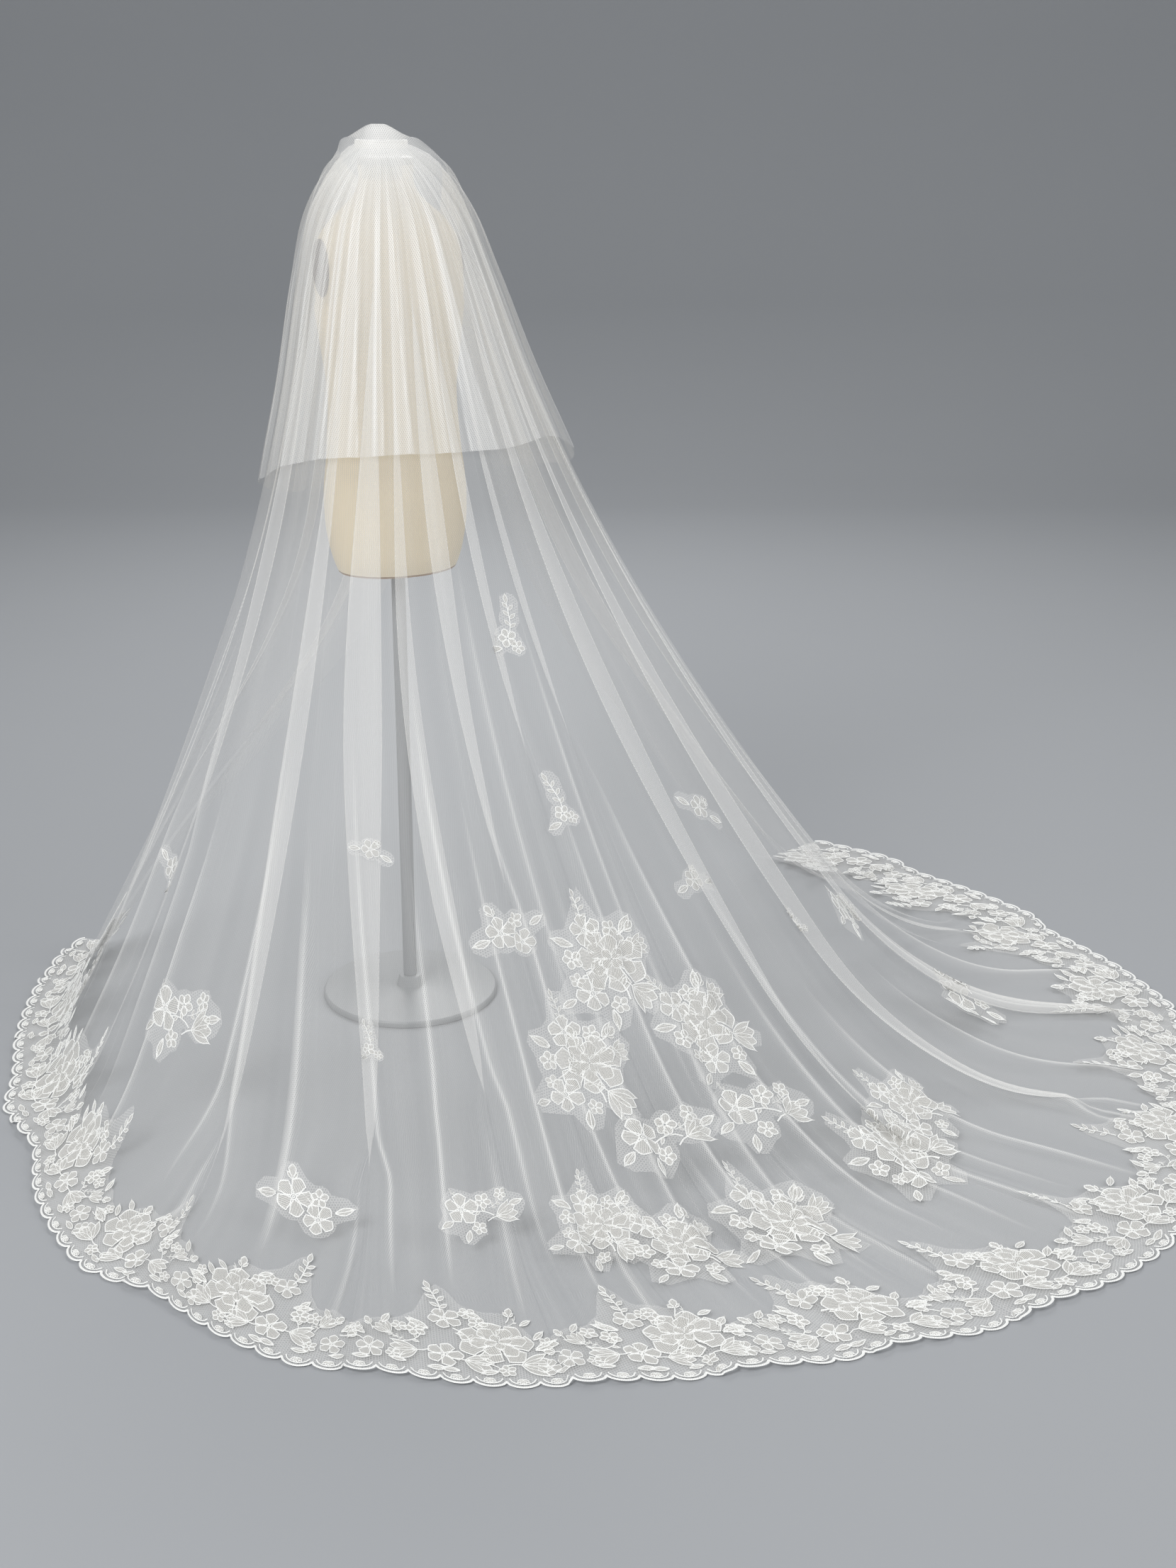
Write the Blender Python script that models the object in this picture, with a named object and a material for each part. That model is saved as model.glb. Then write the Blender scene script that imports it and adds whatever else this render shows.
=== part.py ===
"""A two-tier bridal veil with a scalloped lace hem, worn on a limbless dress form.

Metres, +Z up. The origin is the centre of the stand's underside, on the floor. The form
faces +Y and the train spreads towards -Y. A bearing is an angle about the stand's pole,
in degrees, counted from +X towards +Y. A drop is the share of the veil's height that a
point of the cloth has fallen: 0 at the top, 1 where a straight fall meets the floor.
"""

import math
from collections import namedtuple

import bpy
import bmesh
import numpy as np
from mathutils import Vector
from mathutils.geometry import delaunay_2d_cdt

# Heights and thicknesses
VEIL_TOP = 1.600
SEAM_HEIGHT = 1.566
NET_WALL = 0.0015
LACE_WALL = 0.0010
SEAM_GAP = 0.0003
FOLD_BEND_LEAST = 0.0011
FOLD_BEND_MOST = 0.0019
NORMAL_ROUNDS = 12
LEAST_LEAN = 0.22
MITER_MOST = 1.40

# The gathered seam, an arc round the back of the neck
SEAM_RADIUS = 0.0580
SEAM_BEARING = 240.0
SEAM_HALF_ANGLE = 52.0
SEAM_WAVE = 0.0001
SHOULDER_FALL = 0.045
SIDE_SWEEP = 0.030

# The front edges hang close together and part towards the floor
LEFT_EDGE_TOP = 65.0
LEFT_EDGE_FLOOR = 136.0
RIGHT_EDGE_TOP = 395.0
RIGHT_EDGE_FLOOR = 377.0
EDGE_PARTS_FROM = 0.42
EDGE_PARTS_TO = 0.98

# The spread of the long tier, a row for each bearing: how far out the cloth stands at the
# shoulder, where a straight fall meets the floor, how late it flares, how far its hem
# reaches, and how softly it turns onto the floor
Meridian = namedtuple("Meridian", "bearing shoulder landing flare hem softness")
MERIDIANS = [
    Meridian(60, 0.122, 0.66, 1.80, 0.750, 0.05),
    Meridian(100, 0.120, 0.62, 1.85, 0.700, 0.05),
    Meridian(136, 0.128, 0.65, 1.85, 0.712, 0.05),
    Meridian(163, 0.138, 0.65, 1.88, 0.712, 0.05),
    Meridian(189, 0.140, 0.69, 1.88, 0.777, 0.07),
    Meridian(216, 0.132, 0.76, 1.78, 0.975, 0.13),
    Meridian(242, 0.124, 0.84, 1.65, 1.198, 0.20),
    Meridian(270, 0.120, 0.91, 1.60, 1.346, 0.24),
    Meridian(300, 0.124, 0.98, 1.58, 1.520, 0.25),
    Meridian(329, 0.128, 1.00, 1.56, 1.439, 0.24),
    Meridian(352, 0.130, 0.97, 1.56, 1.277, 0.20),
    Meridian(377, 0.128, 0.92, 1.58, 1.142, 0.16),
    Meridian(400, 0.125, 0.88, 1.60, 1.050, 0.12),
]

# The flat pleats of the long tier: bearing high up and at the floor, width of the doubled
# band at its widest, the drop where it is widest and the drop where it runs out
Pleat = namedtuple("Pleat", "name top floor band widest tip")
LONG_PLEATS = [
    Pleat("front_left", 84, 141, 0.032, 0.45, 0.80),
    Pleat("side_front", 112, 152, 0.030, 0.40, 0.86),
    Pleat("side_left", 146, 172, 0.034, 0.50, 0.92),
    Pleat("left_outer", 192, 195, 0.038, 0.40, 0.76),
    Pleat("left_long", 223, 226, 0.033, 0.62, 1.03),
    Pleat("back_wide", 240, 245, 0.064, 0.60, 0.99),
    Pleat("back_late", 251, 259, 0.034, 0.74, 0.92),
    Pleat("back_early", 263, 268, 0.040, 0.30, 0.78),
    Pleat("right_fine", 274, 277, 0.026, 0.30, 0.68),
    Pleat("right_thin", 284, 286, 0.016, 0.42, 0.68),
    Pleat("train_left", 297, 299, 0.046, 0.55, 1.06),
    Pleat("train_middle", 313, 313, 0.050, 0.75, 1.18),
    Pleat("train_right", 331, 330, 0.050, 0.75, 1.16),
    Pleat("side_right", 352, 349, 0.045, 0.60, 1.06),
    Pleat("front_right", 376, 366, 0.040, 0.50, 1.00),
]
SEAM_TO_BAND = 0.08
BAND_OPEN = 0.48
FLAT_HALF_BAND = 0.022
BAND_SHARE = 0.50
PANEL_CROWN = 0.50
SOFT_WAVE = 0.07
HIGH_ROWS = [0.036, 0.066, 0.115, 0.185, 0.290, 0.420, 0.560, 0.690, 0.810]
LOW_ROWS = [0.16, 0.34, 0.54, 0.76, 1.0]
HEM_BEYOND = 0.022

# Height of the fold layers off the cloth's middle, by drop
Fold = namedtuple("Fold", "drop height")
LONG_FOLDS = [
    Fold(0.02, 0.0010),
    Fold(0.05, 0.0020),
    Fold(0.10, 0.0040),
    Fold(0.20, 0.0060),
    Fold(0.40, 0.0080),
    Fold(0.80, 0.0085),
    Fold(1.00, 0.0045),
    Fold(1.20, 0.0032),
    Fold(1.60, 0.0025),
]

# The short tier: its soft waves, and the height of its plain cut hem by bearing
SHORT_WAVES = 11
SHORT_HEIGHTS = [
    Fold(0.02, 0.0010),
    Fold(0.05, 0.0020),
    Fold(0.15, 0.0040),
    Fold(0.40, 0.0070),
]
ShortHem = namedtuple("ShortHem", "bearing height")
SHORT_HEM = [
    ShortHem(62, 0.93),
    ShortHem(95, 0.94),
    ShortHem(125, 0.93),
    ShortHem(165, 0.97),
    ShortHem(205, 1.05),
    ShortHem(245, 1.09),
    ShortHem(290, 1.08),
    ShortHem(325, 1.05),
    ShortHem(350, 0.99),
    ShortHem(398, 0.95),
]
SHORT_EDGE_INSET = 4.0
FOLD_ROOM = 1.25
TIER_GAP = 0.0045
SHORT_ROWS = [0.052, 0.095, 0.160]
SHORT_LOWER_ROWS = [0.50, 1.0]
Puff = namedtuple("Puff", "outward height")
PUFF = [
    Puff(0.0000, 1.5686),
    Puff(0.0010, 1.5880),
    Puff(0.0070, 1.5985),
    Puff(0.0160, 1.5925),
    Puff(0.0250, 1.5720),
]

# The lace hem: scallops outside, motif tops inside, a row for each step of a repeat
SCALLOPS = 108
SCALLOP_OUT = 0.016
SCALLOP_ROOT = 0.003
HEM_REPEATS = 17
Motif = namedtuple("Motif", "share rise")
HEM_MOTIF = [
    Motif(0.00, 0.080),
    Motif(0.24, 0.112),
    Motif(0.33, 0.178),
    Motif(0.39, 0.172),
    Motif(0.50, 0.096),
    Motif(0.72, 0.135),
    Motif(0.82, 0.132),
    Motif(0.92, 0.088),
]

# The lace sprays sewn on above the hem: the pleat each is on, counted along the cloth with
# its share of that pleat, its way down the cloth, its size, and how far it leans
Spray = namedtuple("Spray", "pleat down width height lean")
SPRAYS = [
    Spray(8.96, 0.828, 0.046, 0.090, 10),
    Spray(8.93, 1.135, 0.038, 0.070, -8),
    Spray(11.00, 1.233, 0.062, 0.050, 30),
    Spray(10.08, 1.335, 0.050, 0.056, -12),
    Spray(5.93, 1.174, 0.042, 0.034, 0),
    Spray(5.90, 1.488, 0.042, 0.050, 0),
    Spray(3.12, 1.300, 0.050, 0.055, 20),
    Spray(7.13, 1.328, 0.080, 0.076, 5),
    Spray(4.02, 1.500, 0.130, 0.105, -18),
    Spray(5.05, 1.757, 0.110, 0.070, 15),
    Spray(6.10, 1.772, 0.096, 0.085, -10),
    Spray(8.85, 1.400, 0.140, 0.180, 12),
    Spray(9.75, 1.550, 0.130, 0.175, -16),
    Spray(7.94, 1.552, 0.138, 0.175, 14),
    Spray(8.45, 1.705, 0.148, 0.085, -6),
    Spray(9.86, 1.722, 0.140, 0.115, 8),
    Spray(7.14, 1.822, 0.118, 0.145, 18),
    Spray(7.98, 1.890, 0.140, 0.165, -8),
    Spray(9.01, 1.912, 0.170, 0.195, 10),
    Spray(10.09, 1.900, 0.170, 0.190, -12),
    Spray(10.95, 1.850, 0.132, 0.150, 9),
    Spray(12.10, 1.880, 0.130, 0.120, -14),
    Spray(12.06, 1.590, 0.120, 0.085, 25),
    Spray(11.76, 1.500, 0.045, 0.045, 0),
]
SPRAY_LOBES = 6
SPRAY_NOTCH = 0.74

# The dress form, a row for each level
Level = namedtuple("Level", "height half_width half_depth")
TORSO_LEVELS = [
    Level(0.835, 0.108, 0.082),
    Level(0.850, 0.114, 0.087),
    Level(0.900, 0.126, 0.095),
    Level(0.960, 0.130, 0.098),
    Level(1.060, 0.121, 0.090),
    Level(1.150, 0.116, 0.086),
    Level(1.240, 0.126, 0.093),
    Level(1.310, 0.134, 0.097),
    Level(1.370, 0.134, 0.092),
    Level(1.415, 0.121, 0.080),
    Level(1.445, 0.097, 0.066),
    Level(1.468, 0.070, 0.054),
    Level(1.485, 0.054, 0.0490),
    Level(1.500, 0.0477, 0.0477),
    Level(1.530, 0.0477, 0.0477),
]
TORSO_SIDES = 22
NECK_RADIUS = 0.0477
NECK_CAP_THICKNESS = 0.014
ARMHOLE_X = 0.1200
ARMHOLE_HEIGHT = 1.365
ARMHOLE_HALF_HEIGHT = 0.048
ARMHOLE_HALF_DEPTH = 0.040
ARMHOLE_PLATE = 0.003
POLE_RADIUS = 0.0125
BASE_RADIUS = 0.165
BASE_THICKNESS = 0.012
COLLAR_RADIUS = 0.026
COLLAR_HEIGHT = 0.035

# The comb behind the neck and the bound seam on it
COMB_TEETH = 15
COMB_HALF_ANGLE = 44.0
COMB_THICKNESS = 0.0026
COMB_TOOTH_TIP = 1.507
COMB_TOOTH_ROOT = 1.5475
COMB_TOP = 1.5582
BAND_TOP = 1.5720


def smooth(value, start, end):
    """A soft step from 0 at start to 1 at end."""
    share = min(max((value - start) / (end - start), 0.0), 1.0)
    return share * share * (3.0 - 2.0 * share)


def along(rows, key, column, value):
    """Read a table's column at a value of its key, on one smooth curve through the rows."""
    keys = [getattr(row, key) for row in rows]
    values = [getattr(row, column) for row in rows]
    value = min(max(value, keys[0]), keys[-1])
    index = min(max(int(np.searchsorted(keys, value)) - 1, 0), len(keys) - 2)
    slopes = np.gradient(values, keys)
    step = keys[index + 1] - keys[index]
    t = (value - keys[index]) / step
    return (
        (2 * t**3 - 3 * t**2 + 1) * values[index]
        + (t**3 - 2 * t**2 + t) * step * slopes[index]
        + (3 * t**2 - 2 * t**3) * values[index + 1]
        + (t**3 - t**2) * step * slopes[index + 1]
    )


def meridian(bearing):
    """The spread of the cloth at one bearing."""
    columns = Meridian._fields[1:]
    return Meridian(bearing, *[along(MERIDIANS, "bearing", name, bearing) for name in columns])


def hem_drop(bearing):
    """The drop, counted on past the landing, at which the cloth reaches its hem."""
    spread = meridian(bearing)
    slope = spread.flare * (spread.landing - spread.shoulder)
    return 1.0 + (spread.hem - spread.landing) / slope


def panel_bearing(top, floor, drop):
    """A line of the cloth hangs at one bearing high up and at another on the floor."""
    return top + (floor - top) * smooth(drop, EDGE_PARTS_FROM, EDGE_PARTS_TO)


def base_radius(bearing, drop):
    """Distance of the cloth's middle from the pole."""
    spread = meridian(bearing)
    seam = math.exp(-max(drop - seam_drop(), 0.0) / SHOULDER_FALL)
    reach = spread.landing - spread.shoulder
    if drop <= 1.0:
        radius = spread.shoulder * (1.0 - seam) + reach * drop**spread.flare
    else:
        radius = spread.shoulder + reach * (1.0 + spread.flare * (drop - 1.0))
    return radius + SEAM_RADIUS * seam


def seam_drop():
    """The drop of the gathered seam."""
    return 1.0 - SEAM_HEIGHT / VEIL_TOP


def base_height(bearing, drop):
    """Height of the cloth's middle, which turns softly onto the floor."""
    fall = VEIL_TOP * (1.0 - drop)
    room = 0.8 * (hem_drop(bearing) - 1.0) * VEIL_TOP + 0.015
    soft = min(meridian(bearing).softness, room)
    if fall > soft:
        height = fall
    elif fall < -soft:
        height = 0.0
    else:
        height = (fall + soft) ** 2 / (4.0 * soft)
    return height + NET_WALL / 2.0


def base_point(bearing, drop):
    """A point of the cloth's middle surface, fanned out from the arc of the seam."""
    middle = (LEFT_EDGE_TOP + RIGHT_EDGE_TOP) / 2.0
    half = (RIGHT_EDGE_TOP - LEFT_EDGE_TOP) / 2.0
    seam_bearing = SEAM_BEARING + (bearing - middle) / half * SEAM_HALF_ANGLE
    near = math.exp(-max(drop - seam_drop(), 0.0) / SIDE_SWEEP)
    angle = math.radians(bearing + (seam_bearing - bearing) * near)
    radius = base_radius(bearing, drop)
    return np.array([
        radius * math.cos(angle),
        radius * math.sin(angle),
        base_height(bearing, drop),
    ])


def base_normal(bearing, drop):
    """The outward direction of the cloth's middle surface."""
    around = base_point(bearing + 0.5, drop) - base_point(bearing - 0.5, drop)
    down = base_point(bearing, drop + 0.004) - base_point(bearing, drop - 0.004)
    normal = np.cross(down, around)
    return normal / np.linalg.norm(normal)


def square_width(bearing, drop):
    """Width of the cloth in one degree, measured square to its fall."""
    around = base_point(bearing + 0.5, drop) - base_point(bearing - 0.5, drop)
    down = base_point(bearing, drop + 0.004) - base_point(bearing, drop)
    return np.linalg.norm(np.cross(down, around)) / np.linalg.norm(down)


def fold_section(left, right, band, height, step):
    """Six points across a pleat, from the cloth on its left to the cloth on its right.

    A wide band is a flat Z of three layers with rounded folds. As the band runs out, it
    opens into a soft trough beside a soft ridge.
    """
    half = band / 2.0
    bend = min(max(0.25 * height, FOLD_BEND_LEAST), FOLD_BEND_MOST)
    flat = [
        (half - bend, -height),
        (half, bend - height),
        (half - bend, 2.0 * bend - height),
        (bend - half, height - 2.0 * bend),
        (-half, height - bend),
        (bend - half, height),
    ]
    near_left = 0.10 * left + (0.20 * height - 0.10 * left) * step
    near_right = 0.10 * right + (0.20 * height - 0.10 * right) * step
    soft = [
        (-0.50 * left, -0.80 * height),
        (-0.28 * left, -height),
        (-near_left, -0.50 * height),
        (near_right, 0.50 * height),
        (0.28 * right, height),
        (0.50 * right, 0.80 * height),
    ]
    share = smooth(half, 0.0, max(2.6 * height, FLAT_HALF_BAND))
    return [
        ((1 - share) * sx + share * fx, (1 - share) * sy + share * fy)
        for (sx, sy), (fx, fy) in zip(soft, flat)
    ]


def band_width(pleat, drop, room):
    """Width of the doubled band at a drop: it opens below the seam and runs out at its tip."""
    opening = smooth(drop, SEAM_TO_BAND, max(pleat.widest, BAND_OPEN))
    closing = 1.0
    if drop > pleat.widest:
        closing = 1.0 - ((drop - pleat.widest) / (pleat.tip - pleat.widest)) ** 1.3
    return min(pleat.band * opening, BAND_SHARE * room) * max(closing, 0.0)


def pleat_bounds(pleats):
    """Bearings, high up and at the floor, of the lines between the pleats."""
    tops = [LEFT_EDGE_TOP]
    floors = [LEFT_EDGE_FLOOR]
    for before, after in zip(pleats, pleats[1:]):
        tops.append((before.top + after.top) / 2.0)
        floors.append((before.floor + after.floor) / 2.0)
    tops.append(RIGHT_EDGE_TOP)
    floors.append(RIGHT_EDGE_FLOOR)
    return list(zip(tops, floors))


def row_drop(row, bearing):
    """The drop of a row of the long tier, spread evenly to the hem below the last high row."""
    if row < len(HIGH_ROWS) + 1:
        return ([seam_drop()] + HIGH_ROWS)[row]
    start = HIGH_ROWS[-1]
    end = hem_drop(bearing)
    step = row - len(HIGH_ROWS) - 1
    if step < len(LOW_ROWS):
        return start + (end - start) * LOW_ROWS[step]
    spread = meridian(bearing)
    return end + HEM_BEYOND / (spread.flare * (spread.landing - spread.shoulder))


def long_middle():
    """The long tier's middle surface, a row past its hem included, as rows of points."""
    bounds = pleat_bounds(LONG_PLEATS)
    rows = []
    for row in range(len(HIGH_ROWS) + len(LOW_ROWS) + 2):
        points = []
        for index, pleat in enumerate(LONG_PLEATS):
            first = bounds[index]
            last = bounds[index + 1]
            before = LONG_PLEATS[max(index - 1, 0)]
            points.append(between_point(before, first, pleat, row))
            for step in range(6):
                points.append(pleat_point(pleat, first, last, step, row))
        points.append(panel_point(*bounds[-1], 0.0, 0.0, row))
        rows.append(points)
    return np.array(rows)


def between_point(before, line, after, row):
    """A point halfway between two pleats, crowned outwards as the panel there curves."""
    drop = row_drop(row, line[1])
    width = panel_bearing(after.top, after.floor, drop)
    width -= panel_bearing(before.top, before.floor, drop)
    radius = base_radius(panel_bearing(line[0], line[1], drop), drop)
    crown = radius * (1.0 - math.cos(math.radians(width / 2.0))) * PANEL_CROWN
    upright = math.hypot(*base_normal(panel_bearing(line[0], line[1], drop), drop)[:2])
    far = smooth(drop, seam_drop(), SEAM_TO_BAND)
    return panel_point(line[0], line[1], 0.0, crown * upright * far, row)


def panel_point(top, floor, sideways, outward, row):
    """A point beside a line of the cloth, moved along the cloth and off it."""
    drop = row_drop(row, floor)
    bearing = panel_bearing(top, floor, drop)
    bearing += math.degrees(sideways / base_radius(bearing, drop))
    lift = fold_height(drop) * smooth(drop, 0.85, 1.04)
    return base_point(bearing, drop) + base_normal(bearing, drop) * (outward + lift)


def fold_height(drop):
    return along(LONG_FOLDS, "drop", "height", drop)


def pleat_point(pleat, first, last, step, row):
    """One of the six points across a pleat of the long tier."""
    drop = row_drop(row, pleat.floor)
    middle = panel_bearing(pleat.top, pleat.floor, drop)
    radius = base_radius(middle, drop)
    left = math.radians(middle - panel_bearing(first[0], first[1], drop)) * radius
    right = math.radians(panel_bearing(last[0], last[1], drop) - middle) * radius
    room = 2.0 * min(left, right)
    band = band_width(pleat, drop, room)
    height = fold_height(drop)
    height = min(height, SOFT_WAVE * math.degrees(room / radius) * square_width(middle, drop) + band)
    crisp = smooth(drop, SEAM_TO_BAND, 2.5 * SEAM_TO_BAND)
    sideways, outward = fold_section(left, right, band, height, crisp)[step]
    return panel_point(pleat.top, pleat.floor, sideways, outward, row)


def short_middle():
    """The short tier's middle surface: a puff over the seam, then a fall outside the long tier."""
    start = LEFT_EDGE_TOP + SHORT_EDGE_INSET
    end = RIGHT_EDGE_TOP - SHORT_EDGE_INSET
    steps = SHORT_WAVES * 4
    rows = []
    for level in PUFF:
        rows.append([puff_point(level, start + (end - start) * i / steps) for i in range(steps + 1)])
    for row in range(len(SHORT_ROWS) + len(SHORT_LOWER_ROWS)):
        points = []
        for i in range(steps + 1):
            bearing = start + (end - start) * i / steps
            points.append(short_point(bearing, row, math.sin(math.pi * i / 2.0)))
        rows.append(points)
    return np.array(rows)


def puff_point(level, bearing):
    """A point of the puff above the seam, outside the long tier's gathers."""
    middle = (LEFT_EDGE_TOP + RIGHT_EDGE_TOP) / 2.0
    half = (RIGHT_EDGE_TOP - LEFT_EDGE_TOP) / 2.0
    seam_bearing = SEAM_BEARING + (bearing - middle) / half * SEAM_HALF_ANGLE
    spread = smooth(level.outward, 0.0, 0.060)
    angle = math.radians(seam_bearing + (bearing - seam_bearing) * spread)
    radius = SEAM_RADIUS + level.outward
    return [radius * math.cos(angle), radius * math.sin(angle), level.height]


def short_point(bearing, row, wave):
    """A point of the short tier's fall, outside the long tier's folds."""
    if row < len(SHORT_ROWS):
        drop = SHORT_ROWS[row]
    else:
        hem = 1.0 - along(SHORT_HEM, "bearing", "height", bearing) / VEIL_TOP
        drop = SHORT_ROWS[-1] + (hem - SHORT_ROWS[-1]) * SHORT_LOWER_ROWS[row - len(SHORT_ROWS)]
    height = along(SHORT_HEIGHTS, "drop", "height", drop)
    clear = FOLD_ROOM * fold_height(drop) + NET_WALL + height + TIER_GAP
    uneven = 0.75 + 0.25 * math.sin(math.radians(3.1 * bearing))
    place = base_point(bearing, drop) + base_normal(bearing, drop) * (clear + height * wave * uneven)
    return list(place)


def corner_sets(rows, columns):
    """The corners of a grid's triangles, every square cut along the same diagonal."""
    corners = []
    for row in range(rows - 1):
        for column in range(columns - 1):
            here = (row, column)
            right = (row, column + 1)
            below = (row + 1, column)
            across = (row + 1, column + 1)
            corners.append((here, below, across))
            corners.append((here, across, right))
    return corners


def sheet_normals(middle):
    """Offset directions of a sheet: they lean outwards from every triangle they touch, and
    are lengthened where the sheet turns, so that its wall stays even."""
    rows, columns = middle.shape[:2]
    corners = corner_sets(rows, columns)
    facing = []
    for a, b, c in corners:
        normal = np.cross(middle[b] - middle[a], middle[c] - middle[a])
        facing.append(normal / max(np.linalg.norm(normal), 1e-12))
    total = np.zeros_like(middle)
    for trio, normal in zip(corners, facing):
        for corner in trio:
            total[corner] += normal
    unit = total / np.maximum(np.linalg.norm(total, axis=2, keepdims=True), 1e-12)
    for _ in range(NORMAL_ROUNDS):
        for trio, normal in zip(corners, facing):
            for corner in trio:
                short = LEAST_LEAN - float(np.dot(unit[corner], normal))
                if short > 0.0:
                    unit[corner] += normal * short
        unit /= np.maximum(np.linalg.norm(unit, axis=2, keepdims=True), 1e-12)
    lean = np.zeros((rows, columns))
    count = np.zeros((rows, columns))
    for trio, normal in zip(corners, facing):
        for corner in trio:
            lean[corner] += float(np.dot(unit[corner], normal))
            count[corner] += 1.0
    return unit * np.clip(count / np.maximum(lean, 1e-6), 1.0, MITER_MOST)[:, :, None]


class Sheet:
    """A cloth wall: its middle points, its offset directions and its two faces."""

    def __init__(self, middle, wall):
        self.middle = middle
        self.normal = sheet_normals(middle)
        self.outer = middle + self.normal * wall / 2.0
        self.inner = middle - self.normal * wall / 2.0
        self.inner[:, :, 2] = np.maximum(self.inner[:, :, 2], 0.0)
        self.outer[:, :, 2] = np.maximum(self.outer[:, :, 2], wall)


def material(name, colour, roughness):
    finish = bpy.data.materials.new(name)
    finish.use_nodes = True
    shader = finish.node_tree.nodes["Principled BSDF"]
    shader.inputs["Base Color"].default_value = (*colour, 1.0)
    shader.inputs["Roughness"].default_value = roughness
    shader.inputs["Metallic"].default_value = 0.0
    return finish


def add_object(name, points, faces, finish, round_piece=False):
    mesh = bpy.data.meshes.new(name)
    mesh.from_pydata([tuple(float(v) for v in point) for point in points], [], faces)
    mesh.update()
    mesh.materials.append(finish)
    if round_piece:
        mesh.shade_smooth()
        mesh.set_sharp_from_angle(angle=math.radians(40))
    piece = bpy.data.objects.new(name, mesh)
    bpy.context.scene.collection.objects.link(piece)
    return piece


def closed_wall(name, front, back, triangles, finish):
    """A wall between two like sets of points, closed round the rim of its triangles."""
    count = len(front)
    faces = [tuple(face) for face in triangles]
    faces += [tuple(count + index for index in reversed(face)) for face in triangles]
    edges = {}
    for face in triangles:
        for a, b in zip(face, face[1:] + face[:1]):
            edges[(a, b)] = True
    for a, b in edges:
        if (b, a) not in edges:
            faces.append((b, a, count + a))
            faces.append((b, count + a, count + b))
    return add_object(name, list(front) + list(back), faces, finish)


def grid_triangles(rows, columns):
    """The triangles of a grid of points, by the points' places in one list."""
    return [
        [row * columns + column for row, column in trio] for trio in corner_sets(rows, columns)
    ]


def add_sheet(name, sheet, rows, finish):
    """A cloth piece from the first rows of a sheet."""
    columns = sheet.middle.shape[1]
    front = sheet.outer[:rows].reshape(-1, 3)
    back = sheet.inner[:rows].reshape(-1, 3)
    return closed_wall(name, front, back, grid_triangles(rows, columns), finish)


def inside(outline, point):
    """Whether a point of the plane lies in an outline."""
    hit = False
    for (ax, ay), (bx, by) in zip(outline, outline[1:] + outline[:1]):
        if (ay > point[1]) != (by > point[1]):
            if point[0] < (bx - ax) * (point[1] - ay) / (by - ay) + ax:
                hit = not hit
    return hit


def ring_edges(count):
    return [(i, (i + 1) % count) for i in range(count)]


def cut_triangles(places, edges, outline):
    """The triangles between places that lie in an outline, all turned anticlockwise."""
    found, _, faces, _, _, _ = delaunay_2d_cdt(places, edges, [], 0, 1e-7, True)
    triangles = []
    for face in faces:
        a, b, c = (found[i] for i in face)
        if not inside(outline, (a + b + c) / 3.0):
            continue
        turned = (b - a).cross(c - a) > 0.0
        triangles.append(list(face) if turned else list(reversed(face)))
    return found, triangles


def facet_value(values, column, row):
    """A value on the flat triangle of the grid that holds a place given in columns and rows."""
    c = min(int(column), values.shape[1] - 2)
    r = min(int(row), values.shape[0] - 2)
    u = column - c
    v = row - r
    a = values[r, c]
    opposite = values[r + 1, c + 1]
    if v >= u:
        corner = values[r + 1, c]
        return a + (corner - a) * (v - u) + (opposite - a) * u
    corner = values[r, c + 1]
    return a + (corner - a) * (u - v) + (opposite - a) * v


def laid_on(name, sheet, outline, thickness, finish):
    """A piece that lies on a sheet: its outline, in columns and rows, is cut from the sheet's
    own triangles and moved out."""
    columns = [place[0] for place in outline]
    rows = [place[1] for place in outline]
    first_c, last_c = max(int(min(columns)), 0), min(int(max(columns)) + 1, sheet.middle.shape[1] - 1)
    first_r, last_r = max(int(min(rows)), 0), min(int(max(rows)) + 1, sheet.middle.shape[0] - 1)
    places = [Vector(place) for place in outline]
    edges = ring_edges(len(outline))
    index = {}
    for r in range(first_r, last_r + 1):
        for c in range(first_c, last_c + 1):
            index[(c, r)] = len(places)
            places.append(Vector((c, r)))
    for c, r in index:
        for step in ((1, 0), (0, 1), (1, 1)):
            other = (c + step[0], r + step[1])
            if other in index:
                edges.append((index[(c, r)], index[other]))
    found, triangles = cut_triangles(places, edges, outline)
    used = sorted({i for face in triangles for i in face})
    renumbered = {old: new for new, old in enumerate(used)}
    triangles = [[renumbered[i] for i in face] for face in triangles]
    front = []
    back = []
    for i in used:
        surface = facet_value(sheet.outer, found[i].x, found[i].y)
        normal = facet_value(sheet.normal, found[i].x, found[i].y)
        back.append(surface + normal * SEAM_GAP)
        front.append(surface + normal * (SEAM_GAP + thickness))
    return closed_wall(name, front, back, [face[::-1] for face in triangles], finish)


class Ruler:
    """Distances over a sheet, so that a piece's outline in metres finds its columns and rows."""

    def __init__(self, sheet):
        middle = sheet.middle
        across = np.linalg.norm(np.diff(middle, axis=1), axis=2)
        down = np.linalg.norm(np.diff(middle, axis=0), axis=2)
        self.across = np.concatenate([np.zeros((middle.shape[0], 1)), np.cumsum(across, 1)], 1)
        self.down = np.concatenate([np.zeros((1, middle.shape[1])), np.cumsum(down, 0)], 0)

    def row_at(self, column, distance):
        c = min(int(column), self.down.shape[1] - 2)
        scale = self.down[:, c] * (1 - column + c) + self.down[:, c + 1] * (column - c)
        return float(np.interp(distance, scale, np.arange(len(scale))))

    def down_at(self, column, row):
        return float(facet_value(self.down, column, row))

    def beside(self, column, row, sideways):
        """The column that lies a distance to the side of another, on the same row."""
        r = min(int(row), self.across.shape[0] - 2)
        scale = self.across[r] * (1 - row + r) + self.across[r + 1] * (row - r)
        start = np.interp(column, np.arange(len(scale)), scale)
        return float(np.interp(start + sideways, scale, np.arange(len(scale))))


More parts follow.
